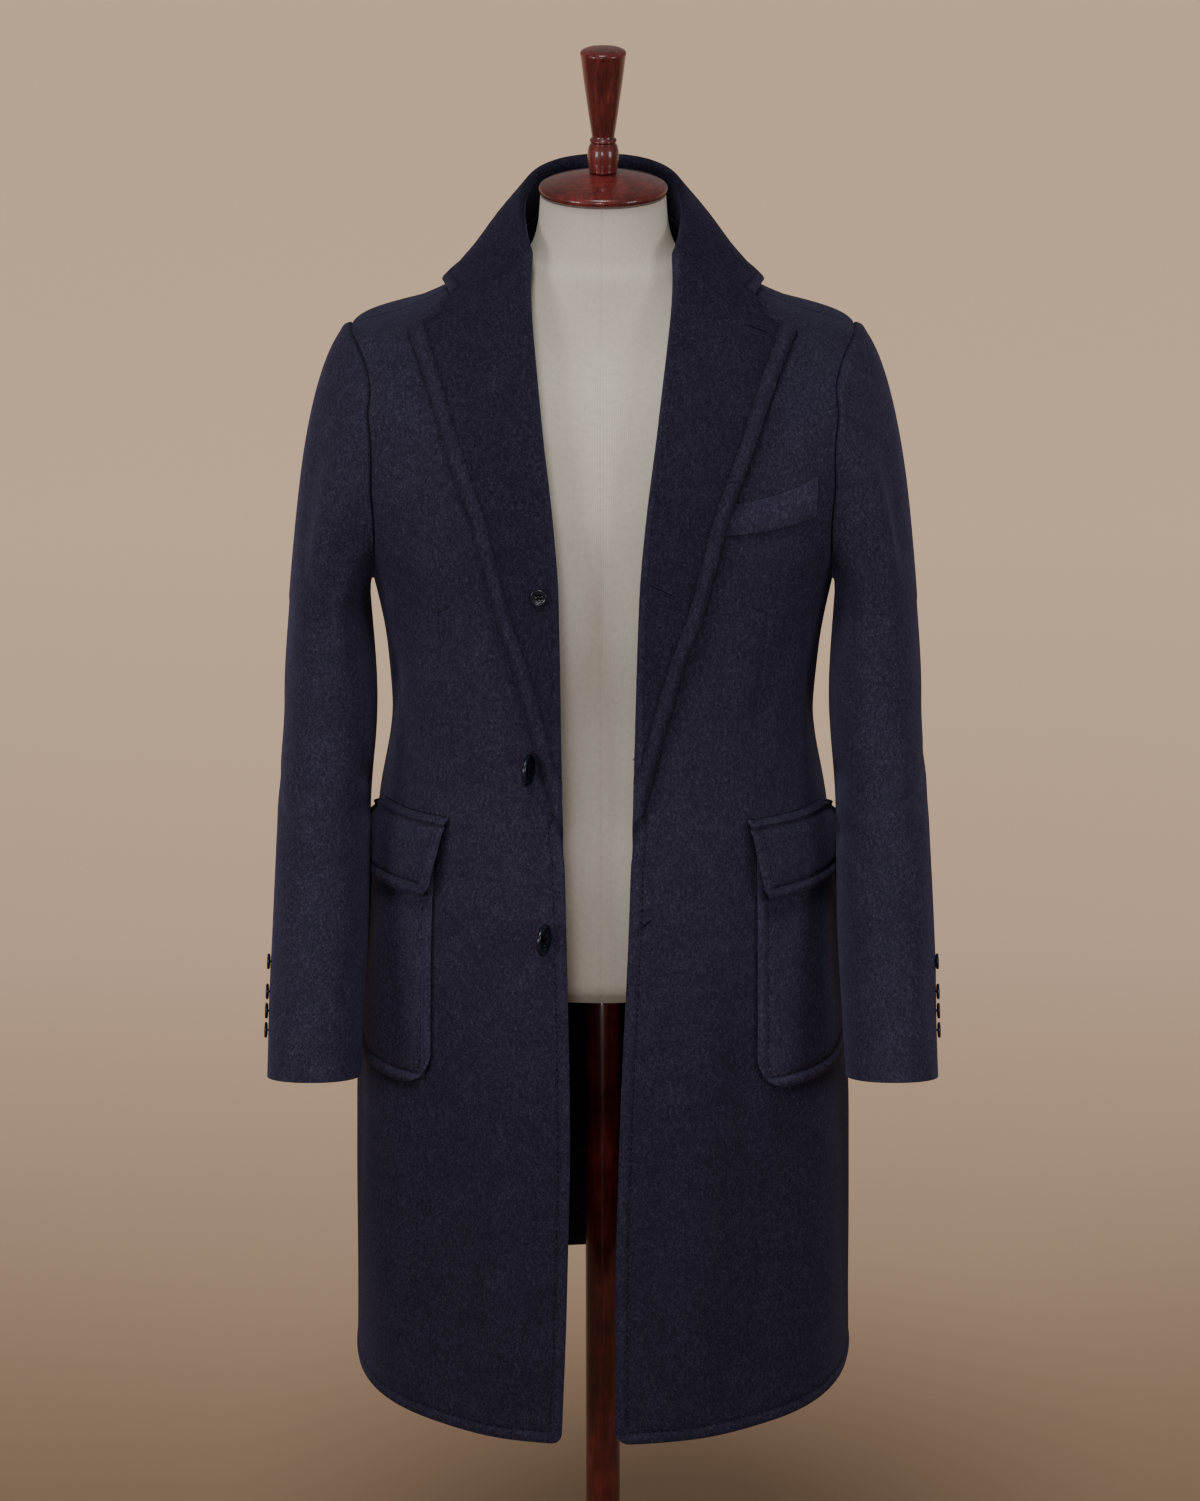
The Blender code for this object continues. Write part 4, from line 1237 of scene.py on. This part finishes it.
def pocketPlace(side, place, up):  # place runs from the inner edge, or back from the outer edge below 0
    inner, width = pocketSpan(side, up)
    place = place if place >= 0 else width + place
    x, y = softCorners(place, up, width, pocket["round"])
    out = 0.0006 + pocket["wall"] + swell(min(x, width - x, y))
    out += pocket["slack"] * math.exp(-(((up - 0.17) / 0.05) ** 2)) * math.sin(math.pi * place / width)
    fall = (flap["topSlope"] * x + pocket["drop"] * outerPart(x, width)) * (y / pocketTall) ** 4
    return skin(side, inner + x, pocket["bottom"] + y - fall, out)


def makePocket(side, word):
    rows = []
    for up in borderSteps + spread(borderSteps[-1], pocketTall, 40):
        places = patchSteps(pocketSpan(side, up)[1], 26)
        rows.append([pocketPlace(side, place, up) for place in places])
    name, nodes = "pocket" + word, ["pocket_" + word.lower()]
    # painted light: the whole pocket is painted paler
    napAndPaintedLights = [[pocket["napAndPaintedLight"]] * len(row) for row in rows]
    piece = clothPiece(name, rows, (30, 24), Vector((0, 0, 0.85)), nodes, pocket["wall"], napAndPaintedLights=napAndPaintedLights)


def flapWidth(side):
    return panelGirth(side, flap["outerShare"], 0.94) - sum(flap["inner"][side]) / 2


def flapPlace(side, place, up):
    innerTop, innerLow = flap["inner"][side]
    width = flapWidth(side)
    place = place if place >= 0 else width + place
    x, y = softCorners(place, up, width, flap["round"])
    share = y / flapTall
    inner = innerLow + share * (innerTop - innerLow)
    outer = outerPart(x, width)
    top = flap["top"] - flap["topSlope"] * x - 0.011 * outer
    low = flap["bottom"] - flap["bottomSlope"] * x
    down = flapTall - y
    lift = flap["lift"] - flap["lean"] * ease(share / 0.85)
    curl = flap["curl"] * math.exp(-((x / 0.022) ** 2)) * (1 - ease(share / 0.7))
    wave = flap["wave"] * math.sin(x * 38 + side) * (1 - share)
    groove = flap["groove"] * math.exp(-(((down - flap["topLine"]) / 0.0036) ** 2))
    tucked = flap["tuck"] * (1 - ease(down / 0.0050)) + 0.0040 * outer * (1 - ease(down / 0.030))
    belly = flap["belly"] * math.sin(math.pi * min(share * 1.15, 1.0))
    out = lift + curl + wave + belly + 1.5 * swell(min(x, width - x, y)) - groove - tucked
    return skin(side, inner + x, low + share * (top - low), out)


def makeFlap(side, word):
    downs = (0.0125, 0.0110, 0.0095, 0.0080, 0.0065, 0.0050, 0.0036, 0.0022, 0.0010, 0.0)
    top = [flapTall - down for down in downs]
    places = patchSteps(flapWidth(side), 26)
    rows = []
    for up in borderSteps + spread(borderSteps[-1], top[0], 14)[:-1] + top:
        rows.append([flapPlace(side, place, up) for place in places])
    name, nodes = "flap" + word, ["flap_" + word.lower()]
    piece = clothPiece(name, rows, (14, 24), Vector((0, 0, 0.945)), nodes, flap["wall"])


welt = {
    "start": 0.098,
    "end": 0.1835,
    "top": 1.2665,
    "bottom": 1.2395,
    "topRise": 0.0170,
    "bottomRise": 0.0090,
    "bend": 2.2,
    "wall": 0.0026,
    # painted light: how much paler the welt is painted
    "napAndPaintedLight": 0.9,
}


def weltPlace(place, share, out):
    across = place / (welt["end"] - welt["start"])
    top = welt["top"] + welt["topRise"] * across ** welt["bend"]
    bottom = welt["bottom"] + welt["bottomRise"] * across ** welt["bend"]
    return skinFrame(1, welt["start"] + place, bottom + share * (top - bottom), out)


def makeWelt():
    width = welt["end"] - welt["start"]
    rows = []
    for step in range(15):
        share = step / 14
        points = []
        for place in patchSteps(width, 16):
            edge = min(place, width - place)
            out = 0.0004 + welt["wall"] + 0.0010 * math.sin(math.pi * min(share * 1.15, 1.0))
            out -= 0.0007 * math.exp(-(((edge - 0.0030) / 0.0012) ** 2))
            points.append(weltPlace(place, share, out)[0])
        rows.append(points)
    # painted light: the whole welt is painted paler
    napAndPaintedLights = [[welt["napAndPaintedLight"]] * len(row) for row in rows]
    centre = Vector((0, 0, 1.26))
    piece = clothPiece("chestWelt", rows, (7, 20), centre, ["chest_welt"], welt["wall"], 0.0009, napAndPaintedLights)


for side, word in sides:
    makePocket(side, word)
    makeFlap(side, word)
makeWelt()
print("pockets, flaps and welt made")


# Buttons: horn discs with a raised rim and four holes, sewn on through the holes
buttonShape = {
    # radius share, height share of the thickness
    "top": [(0.60, 0.30), (0.68, 0.33), (0.76, 0.44), (0.83, 0.50), (0.90, 0.50), (0.96, 0.42)],
    "side": [(0.993, 0.26), (1.0, 0.06), (0.985, -0.14), (0.93, -0.32), (0.80, -0.44), (0.60, -0.50)],
    "holeRing": 0.205,
    "hole": 0.11,
    "holeSteps": 12,
    "floor": 0.28,
    "threadHigh": 0.42,
}
buttonSizes = {
    # radius, thickness, steps round
    "front": (0.0140, 0.0042, 44),
    "top": (0.0129, 0.0034, 40),
    "backing": (0.0072, 0.0026, 36),
    "cuff": (0.0070, 0.0028, 32),
}


def ringOf(bm, radius, height, steps, x=0.0, y=0.0):
    place = Matrix.Translation((x, y, height))
    made = bmesh.ops.create_circle(bm, segments=steps, radius=radius, matrix=place)
    verts = set(made["verts"])
    return [edge for edge in bm.edges if edge.verts[0] in verts and edge.verts[1] in verts]


def bridgeRings(bm, rings):
    for upper, lower in zip(rings, rings[1:]):
        bmesh.ops.bridge_loops(bm, edges=upper + lower)


def addButton(bm, radius, thick, placing, steps):
    before = set(bm.verts)
    shares = buttonShape["top"] + buttonShape["side"]
    rings = [ringOf(bm, radius * wide, thick * high, steps) for wide, high in shares]
    bridgeRings(bm, rings)
    topHoles, lowHoles = [], []
    reach, hole = radius * buttonShape["holeRing"], radius * buttonShape["hole"]
    for x, y in ((reach, reach), (-reach, reach), (-reach, -reach), (reach, -reach)):
        top = ringOf(bm, hole, thick * buttonShape["floor"], buttonShape["holeSteps"], x, y)
        low = ringOf(bm, hole, thick * -0.50, buttonShape["holeSteps"], x, y)
        bridgeRings(bm, [top, low])
        topHoles += top
        lowHoles += low
    bmesh.ops.triangle_fill(bm, use_beauty=True, edges=rings[0] + topHoles)
    bmesh.ops.triangle_fill(bm, use_beauty=True, edges=rings[-1] + lowHoles)
    added = [vert for vert in bm.verts if vert not in before]
    bmesh.ops.transform(bm, matrix=placing, verts=added)


def addCapsule(bm, start, end, wide, high, normal, around=5, rings=3):  # a short length of thread
    along = end - start
    facing = along.normalized()
    side = normal.cross(facing).normalized()
    up = facing.cross(side)
    turn = Matrix((side, up, facing)).transposed().to_4x4()
    size = Matrix.Diagonal((wide, high, along.length / 2, 1.0))
    place = Matrix.Translation((start + end) / 2) @ turn @ size
    bmesh.ops.create_uvsphere(bm, u_segments=around, v_segments=rings, radius=1.0, matrix=place)


def facingMatrix(place, facing, spin):
    turn = facing.to_track_quat("Z", "Y").to_matrix().to_4x4()
    return Matrix.Translation(place) @ turn @ Matrix.Rotation(math.radians(spin), 4, "Z")


def makeButton(name, node, size, place, facing, spin, shank):
    radius, thick, steps = buttonSizes[size]
    placing = facingMatrix(place, facing, spin)
    bm = bmesh.new()
    addButton(bm, radius, thick, placing, steps)
    bmesh.ops.recalc_face_normals(bm, faces=bm.faces[:])
    piece = makePiece(name, bm, darkHorn)
    keep(piece, [node])
    reach = radius * buttonShape["holeRing"]
    level = thick * buttonShape["threadHigh"]
    corners = [Vector((reach * a, reach * b, level)) for a, b in ((-1, -1), (1, 1), (-1, 1), (1, -1))]
    lift = Vector((0, 0, thick * 0.05))
    for pair in (corners[:2], corners[2:]):  # the thread crosses from hole to hole
        first, second = (placing @ (corner + lift) for corner in pair)
        addCapsule(sewing, first, second, radius * 0.052, radius * 0.045, facing)
    beside = facing.orthogonal()
    for corner in corners:
        down = Vector((corner.x, corner.y, thick * -0.45))
        addCapsule(sewing, placing @ corner, placing @ down, radius * 0.05, radius * 0.05, beside)
    foot = placing @ Vector((0, 0, thick * -0.40))
    addCapsule(sewing, foot, shank, radius * 0.13, radius * 0.13, beside, 10, 6)


def lapelFace(side, girth, z, raised=0.0):  # on the face of the turned lapel
    row = lapelRow(side, z)
    for tries in range(6):  # turned cloth drops as it goes out, so its row is found by steps
        share = turnedShare(row, girth - row["roll"])
        row = lapelRow(side, z + row["drop"] * min(share, 1.0))
    return skinFrame(side, girth, z, turnedHeight(row, share) + coat["wall"] + raised)


def turnedButton(name, node, girth, z, tilt, spin):  # it has swung round on its thread
    point, normal = skinFrame(-1, girth, z)
    inward = normal.cross(Vector((0, 0, -1))).normalized()
    if inward.x < 0:
        inward.negate()
    angle = math.radians(tilt)
    facing = normal * math.cos(angle) + inward * math.sin(angle)
    radius, thick = buttonSizes["front"][:2]
    out = radius * math.sin(angle) + thick / 2 * math.cos(angle) + 0.0012
    makeButton(name, node, "front", point + normal * out, facing, spin, point - normal * 0.001)


sewing = bmesh.new()
point, normal = skinFrame(-1, 0.0590, 1.190)
makeButton("buttonTop", "button_top", "top", point + normal * 0.0023, normal, 20, point)
turnedButton("buttonMiddle", "button_middle", 0.0612, 1.0385, 84.0, 30)
turnedButton("buttonBottom", "button_bottom", 0.0493, 0.887, 76.0, 12)
point, normal = lapelFace(-1, 0.0535, 1.1905)
makeButton("buttonBacking", "button_backing", "backing", point + normal * 0.0019, normal, 8, point)
cuffs = {"heights": [0.784, 0.800, 0.816, 0.841], -1: [10, 33, 5, 52], 1: [24, 3, 41, 14], "turn": 9.0}
for side, word in sides:
    for number, (z, spin) in enumerate(zip(cuffs["heights"], cuffs[side]), 1):
        point, normal = sleeveFrame(side, cuffs["turn"], 1.0 + sleeve["top"] - z)
        node = "cuff_button_" + word.lower() + "_" + str(number)
        name = "cuffButton" + word + str(number)
        makeButton(name, node, "cuff", point + normal * 0.0021, normal, spin, point)
keep(makePiece("buttonThread", sewing, threadAndPaintedShade))
print("buttons made")


# Hand-sewn pick stitches, sunk in the line behind each swelled edge; their near-black thread is partly
# painted shade, for the dimples they pull into the cloth
stitch = {"pitch": 0.0057, "length": 0.0026, "wide": 0.00048, "high": 0.00034, "sunk": 0.00005}


def joinInto(whole, part):  # adds one small mesh to a bigger one
    data = bpy.data.meshes.new("part")
    part.to_mesh(data)
    part.free()
    whole.from_mesh(data)
    bpy.data.meshes.remove(data)


def frameFrom(place, across, up):  # a point and its normal from a two-way place
    step = 0.0006
    here = place(across, up)
    normal = (place(across + step, up) - here).cross(place(across, up + step) - here)
    return here, normal.normalized()


def sewLine(whole, line, inside, pitch=stitch["pitch"]):  # the stitches face away from the point inside
    travelled, due = 0.0, pitch / 2
    bm = bmesh.new()
    for (start, normal), (end, other) in zip(line, line[1:]):
        run = (end - start).length
        while due < travelled + run:
            spot = start.lerp(end, (due - travelled) / run)
            facing = normal if normal.dot(spot - inside) > 0 else -normal
            along = (end - start).normalized() * stitch["length"] / 2
            spot = spot - facing * stitch["sunk"]
            addCapsule(bm, spot - along, spot + along, stitch["wide"], stitch["high"], facing)
            due += pitch
        travelled += run
    joinInto(whole, bm)


def frontSeamLine(side):
    def place(inward, z):
        row = lapelRow(side, z)
        point = frontPlace(side, row, inward, bodySwell(inward, row["z"]))
        return hemPlace(point, z)

    line = []
    for z in spread(coat["hem"] + 0.016, coat["neck"] - 0.004, 700):
        point, normal = frameFrom(place, swelled["line"], z)
        if lapelRow(side, z)["turned"] > 0.016:  # here the wall is turned over towards us
            facing = skinFrame(side, rollGirth(side, z), z)[1]
            if normal.dot(facing) < 0:
                normal.negate()
            point = point + normal * coat["wall"]
        line.append((point, normal))
    return line


def hemLine(side, start, end):
    z = coat["hem"] + swelled["line"]

    def place(girth, height):
        return hemPlace(skin(side, girth, height, bodySwell(height - coat["hem"], height)), height)

    return [frameFrom(place, girth, z) for girth in spread(start, end, 160)]


def patchLine(place, width, tall):  # down the inner edge, along the bottom, up the outer edge
    inset = swelled["line"]
    spots = [(inset, up) for up in spread(tall - 0.008, inset, 110)]
    spots += [(across, inset) for across in spread(inset, width - inset, 90)]
    spots += [(-inset, up) for up in spread(inset, tall - 0.008, 110)]
    return [frameFrom(place, across, up) for across, up in spots]


stitches = bmesh.new()
axis = Vector((0, 0, 0.8))
for side in (-1, 1):
    sewLine(stitches, frontSeamLine(side), Vector((0, 0.4, 1.0)))
    z = coat["hem"] + swelled["line"]
    seam = girthAt(90, z)
    sewLine(stitches, hemLine(side, rollGirth(side, z) + 0.014, seam - 0.002), axis)
    sewLine(stitches, hemLine(side, seam + 0.004, girthAt(180, z) - 0.002), axis)
    sewLine(stitches, patchLine(partial(pocketPlace, side), pocketSpan(side, 0.0)[1], pocketTall), axis)
    sewLine(stitches, patchLine(partial(flapPlace, side), flapWidth(side), flapTall), axis)
keep(makePiece("pickStitches", stitches, threadAndPaintedShade))


# Close near-black thread along the flaps' top seams and just under the welt's lower edge: partly the seams'
# thread, partly painted shadow in the sunk seams
def seamLine(place, up, length, count):
    return [frameFrom(place, across, up) for across in spread(0.001, length, count)]


def weltSeam(across, share):
    return weltPlace(across, share, 0.0010)[0]


closeStitch = 0.0019
seamShadowThreads = bmesh.new()
for side in (-1, 1):
    line = seamLine(partial(flapPlace, side), flapTall - 0.0002, flapWidth(side) * 0.86, 60)
    sewLine(seamShadowThreads, line, axis, closeStitch)
sewLine(seamShadowThreads, seamLine(weltSeam, -0.012, 0.0845, 50), axis, closeStitch)
keep(makePiece("paintedSeamShadow", seamShadowThreads, threadAndPaintedShade))


# Worked buttonholes: a slit between two rows of close stitches; the slit is a near-black strip, painted
# shade for the opening
holes = [
    # girth and height at the start, girth and height at the end, on the lapel
    (0.0387, 1.2005, 0.0605, 1.1906, True),
    (0.0334, 0.8940, 0.0419, 0.9010, False),
    (0.0262, 1.0440, 0.0300, 1.0480, False),
    (0.1175, 1.4000, 0.1406, 1.3920, True),
]
purl = {"pitch": 0.0010, "apart": 0.0011, "reach": 0.00075, "wide": 0.00042, "high": 0.00036}
slitShade = bmesh.new()
purls = bmesh.new()
for girth0, z0, girth1, z1, onLapel in holes:
    def onCloth(share):  # just above the cloth's face
        girth, z = girth0 + share * (girth1 - girth0), z0 + share * (z1 - z0)
        return (lapelFace if onLapel else skinFrame)(1, girth, z, 0.0001)

    start, normal = onCloth(0.0)
    end = onCloth(1.0)[0]
    run = (end - start).normalized()
    across = normal.cross(run).normalized()
    addCapsule(slitShade, start, end, 0.00055, 0.00030, normal, 8, 8)
    count = max(round((end - start).length / purl["pitch"]), 3)
    for k in range(count + 1):
        for row in (-1, 1):
            spot = onCloth(k / count)[0] + across * row * purl["apart"]
            reach = across * purl["reach"]
            addCapsule(purls, spot - reach, spot + reach, purl["wide"], purl["high"], normal)
keep(makePiece("buttonholeSlitShade", slitShade, threadAndPaintedShade))
keep(makePiece("buttonholeStitches", purls, woolCloth))
print("stitches and buttonholes made")


# The form: linen over a padded torso, lofted through its sections
formSections = [
    # z, half width, front depth, back depth, squareness
    (0.800, 0.1640, 0.112, 0.112, 2.10),
    (0.815, 0.1690, 0.118, 0.118, 2.10),
    (0.900, 0.1700, 0.119, 0.120, 2.10),
    (1.000, 0.1550, 0.110, 0.105, 2.10),
    (1.060, 0.1510, 0.107, 0.102, 2.10),
    (1.150, 0.1640, 0.112, 0.112, 2.20),
    (1.230, 0.1740, 0.114, 0.122, 2.35),
    (1.300, 0.1820, 0.104, 0.120, 2.50),
    (1.340, 0.1860, 0.090, 0.113, 2.45),
    (1.368, 0.1840, 0.074, 0.102, 2.30),
    (1.384, 0.1680, 0.066, 0.096, 2.20),
    (1.402, 0.1350, 0.061, 0.088, 2.15),
    (1.420, 0.1020, 0.058, 0.080, 2.10),
    (1.440, 0.0740, 0.056, 0.070, 2.05),
    (1.460, 0.0600, 0.053, 0.060, 2.00),
    (1.480, 0.0555, 0.051, 0.054, 2.00),
    (1.4995, 0.0540, 0.051, 0.051, 2.00),
]
form = {"shrink": 0.0006, "seamDepth": 0.0010, "seamWidth": 0.0016, "turns": 144, "neckShift": 0.004}


def formPoint(share, z):  # share runs once round from the back
    half, front, back, square = (between(formSections, z, column) for column in (1, 2, 3, 4))
    angle = 2 * math.pi * (share - 0.5)
    sine, cosine = math.sin(angle), math.cos(angle)
    depth = front if cosine >= 0 else back
    x = math.copysign(half * abs(sine) ** (2 / square), sine)
    y = -math.copysign(depth * abs(cosine) ** (2 / square), cosine)
    drawn = form["shrink"] + form["seamDepth"] * math.exp(-((x / form["seamWidth"]) ** 2))
    grow = 1 - drawn / math.hypot(x, y)
    return Vector((x * grow, y * grow + form["neckShift"] * ease((z - 1.440) / 0.012), z))


def makeForm():
    shares = {column / form["turns"] for column in range(form["turns"] + 1)}
    for seam in (0.0, 0.5, 1.0):  # closer columns beside the seams in front and behind
        shares |= {seam + step * way for step in (0.0014, 0.0030, 0.0046) for way in (-1, 1)}
    shares = sorted(share for share in shares if 0 <= share <= 1)
    heights = [0.800, 0.8015, 0.804, 0.808, 0.812] + spread(0.812, 1.340, 66) + spread(1.340, 1.498, 40)
    heights += [1.4990, 1.4995]
    columns, last = len(shares) - 1, len(heights) - 1
    bm = startGrid(columns, last)
    layer = bm.loops.layers.uv.new("cover")
    spots = gridSpots(bm, columns, last)
    for vert, (column, row) in spots.items():
        vert.co = formPoint(shares[column], heights[row])
    for face in bm.faces:
        for loop in face.loops:
            column, row = spots[loop.vert]
            loop[layer].uv = (shares[column] * 0.95, heights[row])
    bmesh.ops.remove_doubles(bm, verts=bm.verts[:], dist=0.00002)
    rims = [edge for edge in bm.edges if edge.is_boundary]
    ends = bmesh.ops.holes_fill(bm, edges=rims, sides=0)["faces"]
    for face in ends:
        for loop in face.loops:
            loop[layer].uv = (loop.vert.co.x, loop.vert.co.y)
    bmesh.ops.recalc_face_normals(bm, faces=bm.faces[:])
    piece = makePiece("formTorso", bm, linenCover)
    roundEdges(piece, "end edges", 0.0015, 50)
    keep(piece, ["form_torso"])


makeForm()


# Turned wood: the cap on the neck, the finial, the pole and the base
def arc(radius, centreOut, centreUp, start, end, steps):
    points = []
    for step in range(steps + 1):
        angle = math.radians(start + (end - start) * step / steps)
        points.append((centreOut + radius * math.cos(angle), centreUp + radius * math.sin(angle)))
    return points


def turnPiece(name, node, profile, steps, y=0.0):
    bm = bmesh.new()
    verts = [bm.verts.new((out, 0.0, up)) for out, up in profile]
    edges = [bm.edges.new(pair) for pair in zip(verts, verts[1:])]
    turn = {"cent": (0, 0, 0), "axis": (0, 0, 1), "angle": 2 * math.pi, "steps": steps}
    bmesh.ops.spin(bm, geom=verts + edges, use_merge=True, **turn)
    bmesh.ops.remove_doubles(bm, verts=bm.verts[:], dist=0.00001)
    bmesh.ops.translate(bm, verts=bm.verts[:], vec=(0.0, y, 0.0))
    bmesh.ops.recalc_face_normals(bm, faces=bm.faces[:])
    return keep(makePiece(name, bm, mahogany), [node])


wood = {
    "capLow": 1.5003,
    "capTop": 1.5193,
    "capWide": 0.0490,
    "capDome": 0.0088,
    "finialLow": 1.5196,
    "finialTop": 1.6262,
    "poleTop": 0.7997,
    "poleRadius": 0.0160,
    "baseTop": 0.0260,
}
capLow, capTop = wood["capLow"], wood["capTop"]
cap = [(0.0, capTop)]
for out in spread(0.0, wood["capWide"], 14):  # a low cone, slightly domed, that turns down at its rim
    cap.append((out, capTop - wood["capDome"] * (out / wood["capWide"]) ** 1.7))
cap += arc(0.0042, 0.0508, capLow + 0.0046, 78, -78, 12)
cap += [(0.0500, capLow), (0.0, capLow)]
turnPiece("neckCap", "neck_cap", cap, 96, form["neckShift"])

top, low = wood["finialTop"], wood["finialLow"]
finial = [(0.0, top)]
finial += [(0.0030 * k, top - 0.0012 * (k / 5) ** 2) for k in range(1, 6)]
finial += arc(0.0030, 0.0166, 1.6210, 62, -25, 8)
finial += [(0.0186, 1.6150), (0.0168, 1.6000), (0.0147, 1.5850), (0.0126, 1.5700), (0.0108, 1.5580)]
finial += [(0.0098, 1.5515), (0.0096, 1.5490)]
finial += arc(0.0017, 0.0098, 1.5466, 75, -60, 6)
finial += [(0.0106, 1.5444), (0.0116, 1.5428), (0.0125, 1.5405), (0.0131, 1.5378), (0.0134, 1.5345)]
finial += [(0.0134, 1.5312), (0.0131, 1.5278), (0.0126, 1.5245), (0.0121, 1.5222)]
finial += [(0.0120, low + 0.0012), (0.0119, low), (0.0, low)]
turnPiece("finialPiece", "finial", finial, 64, form["neckShift"])

top, radius, seat = wood["poleTop"], wood["poleRadius"], wood["baseTop"] + 0.0003
pole = [(0.0, top), (radius - 0.0008, top), (radius, top - 0.0008)]
pole += [(radius, 0.5300), (radius, 0.2800), (radius, 0.0270), (radius - 0.0004, seat), (0.0, seat)]
turnPiece("standPole", "stand_pole", pole, 48)
base = [(out, wood["baseTop"]) for out in (0.0, 0.0750, 0.1450)]
base += arc(0.0120, 0.1480, 0.0139, 88, 20, 8)
base += arc(0.0060, 0.1790, 0.0110, 70, -10, 8) + arc(0.0035, 0.1815, 0.0036, 0, -85, 5) + [(0.0, 0.0)]
turnPiece("standBase", "stand_base", base, 96)
print("form and stand made")


# Camera, floor and light
camera = {"place": (-0.0027, -3.98, 2.523), "tilt": 69.0, "lens": 115.4}
lens = bpy.data.cameras.new("camera")
lens.lens = camera["lens"]
lens.sensor_width = 36.0
lens.clip_end = 100.0
watcher = bpy.data.objects.new("camera", lens)
watcher.location = camera["place"]
watcher.rotation_euler = (math.radians(camera["tilt"]), 0, 0)
bpy.context.scene.collection.objects.link(watcher)
bpy.context.scene.camera = watcher


def makeFloor():
    material, tree, shader = startMaterial("paleFloor")
    coordinates = nodeIn(tree, "ShaderNodeTexCoord", (-900, 0))
    parts = nodeIn(tree, "ShaderNodeSeparateXYZ", (-700, 0))
    depth = nodeIn(tree, "ShaderNodeMapRange", (-500, 0), From_Min=0.2, From_Max=3.6)
    # painted shade: the floor is painted dark near the camera and paler far behind the stand
    stops = [(0.0, (0.20, 0.122, 0.070)), (0.5, (0.80, 0.555, 0.385)), (1.0, (0.98, 0.710, 0.49))]
    ramp = rampTo(tree, (-300, 0), stops, depth, "Result")
    wire(
        tree,
        (coordinates, "Object", parts, "Vector"),
        (parts, "Y", depth, "Value"),
        (ramp, "Color", shader, "Base Color"),
    )
    setInputs(shader, {"Roughness": 0.9})
    bm = bmesh.new()
    bmesh.ops.create_grid(bm, x_segments=1, y_segments=1, size=30.0)
    floor = makePiece("floor", bm, material)


def makeLight(kind, name, place, aim, size, power, color):
    light = bpy.data.lights.new(name, kind)
    if kind == "AREA":
        light.shape = "RECTANGLE"
        light.size, light.size_y = size
    elif kind == "SPOT":
        light.spot_size = math.radians(size)
        light.spot_blend = 1.0
        light.shadow_soft_size = 0.35
    else:
        light.angle = math.radians(size)
    light.energy = power
    light.color = color
    holder = bpy.data.objects.new(name, light)
    holder.location = place
    holder.rotation_euler = (Vector(aim) - Vector(place)).to_track_quat("-Z", "Y").to_euler()
    bpy.context.scene.collection.objects.link(holder)


makeFloor()
lights = [
    # kind, name, place, aim, size, power, colour
    ("SUN", "sky", (-0.2, -1.3, 4.0), (0, 0, 1.0), 20.0, 1.45, (1.0, 0.98, 0.96)),
    ("AREA", "key", (-2.0, -1.75, 1.60), (0, 0, 1.25), (0.8, 0.8), 20, (1.0, 0.98, 0.98)),
    ("AREA", "fill", (2.1, -1.70, 1.60), (0, 0, 1.25), (0.8, 0.8), 16, (0.97, 0.98, 1.0)),
    ("SPOT", "front", (-0.35, -2.7, 1.75), (0, 0, 1.15), 38.0, 54, (1.0, 0.98, 0.98)),
]
for row in lights:
    makeLight(*row)
world = bpy.data.worlds.new("studio")
world.use_nodes = True
setInputs(world.node_tree.nodes["Background"], {"Color": (1.0, 0.93, 0.84, 1.0), "Strength": 0.24})
bpy.context.scene.world = world
print("camera and lights set")
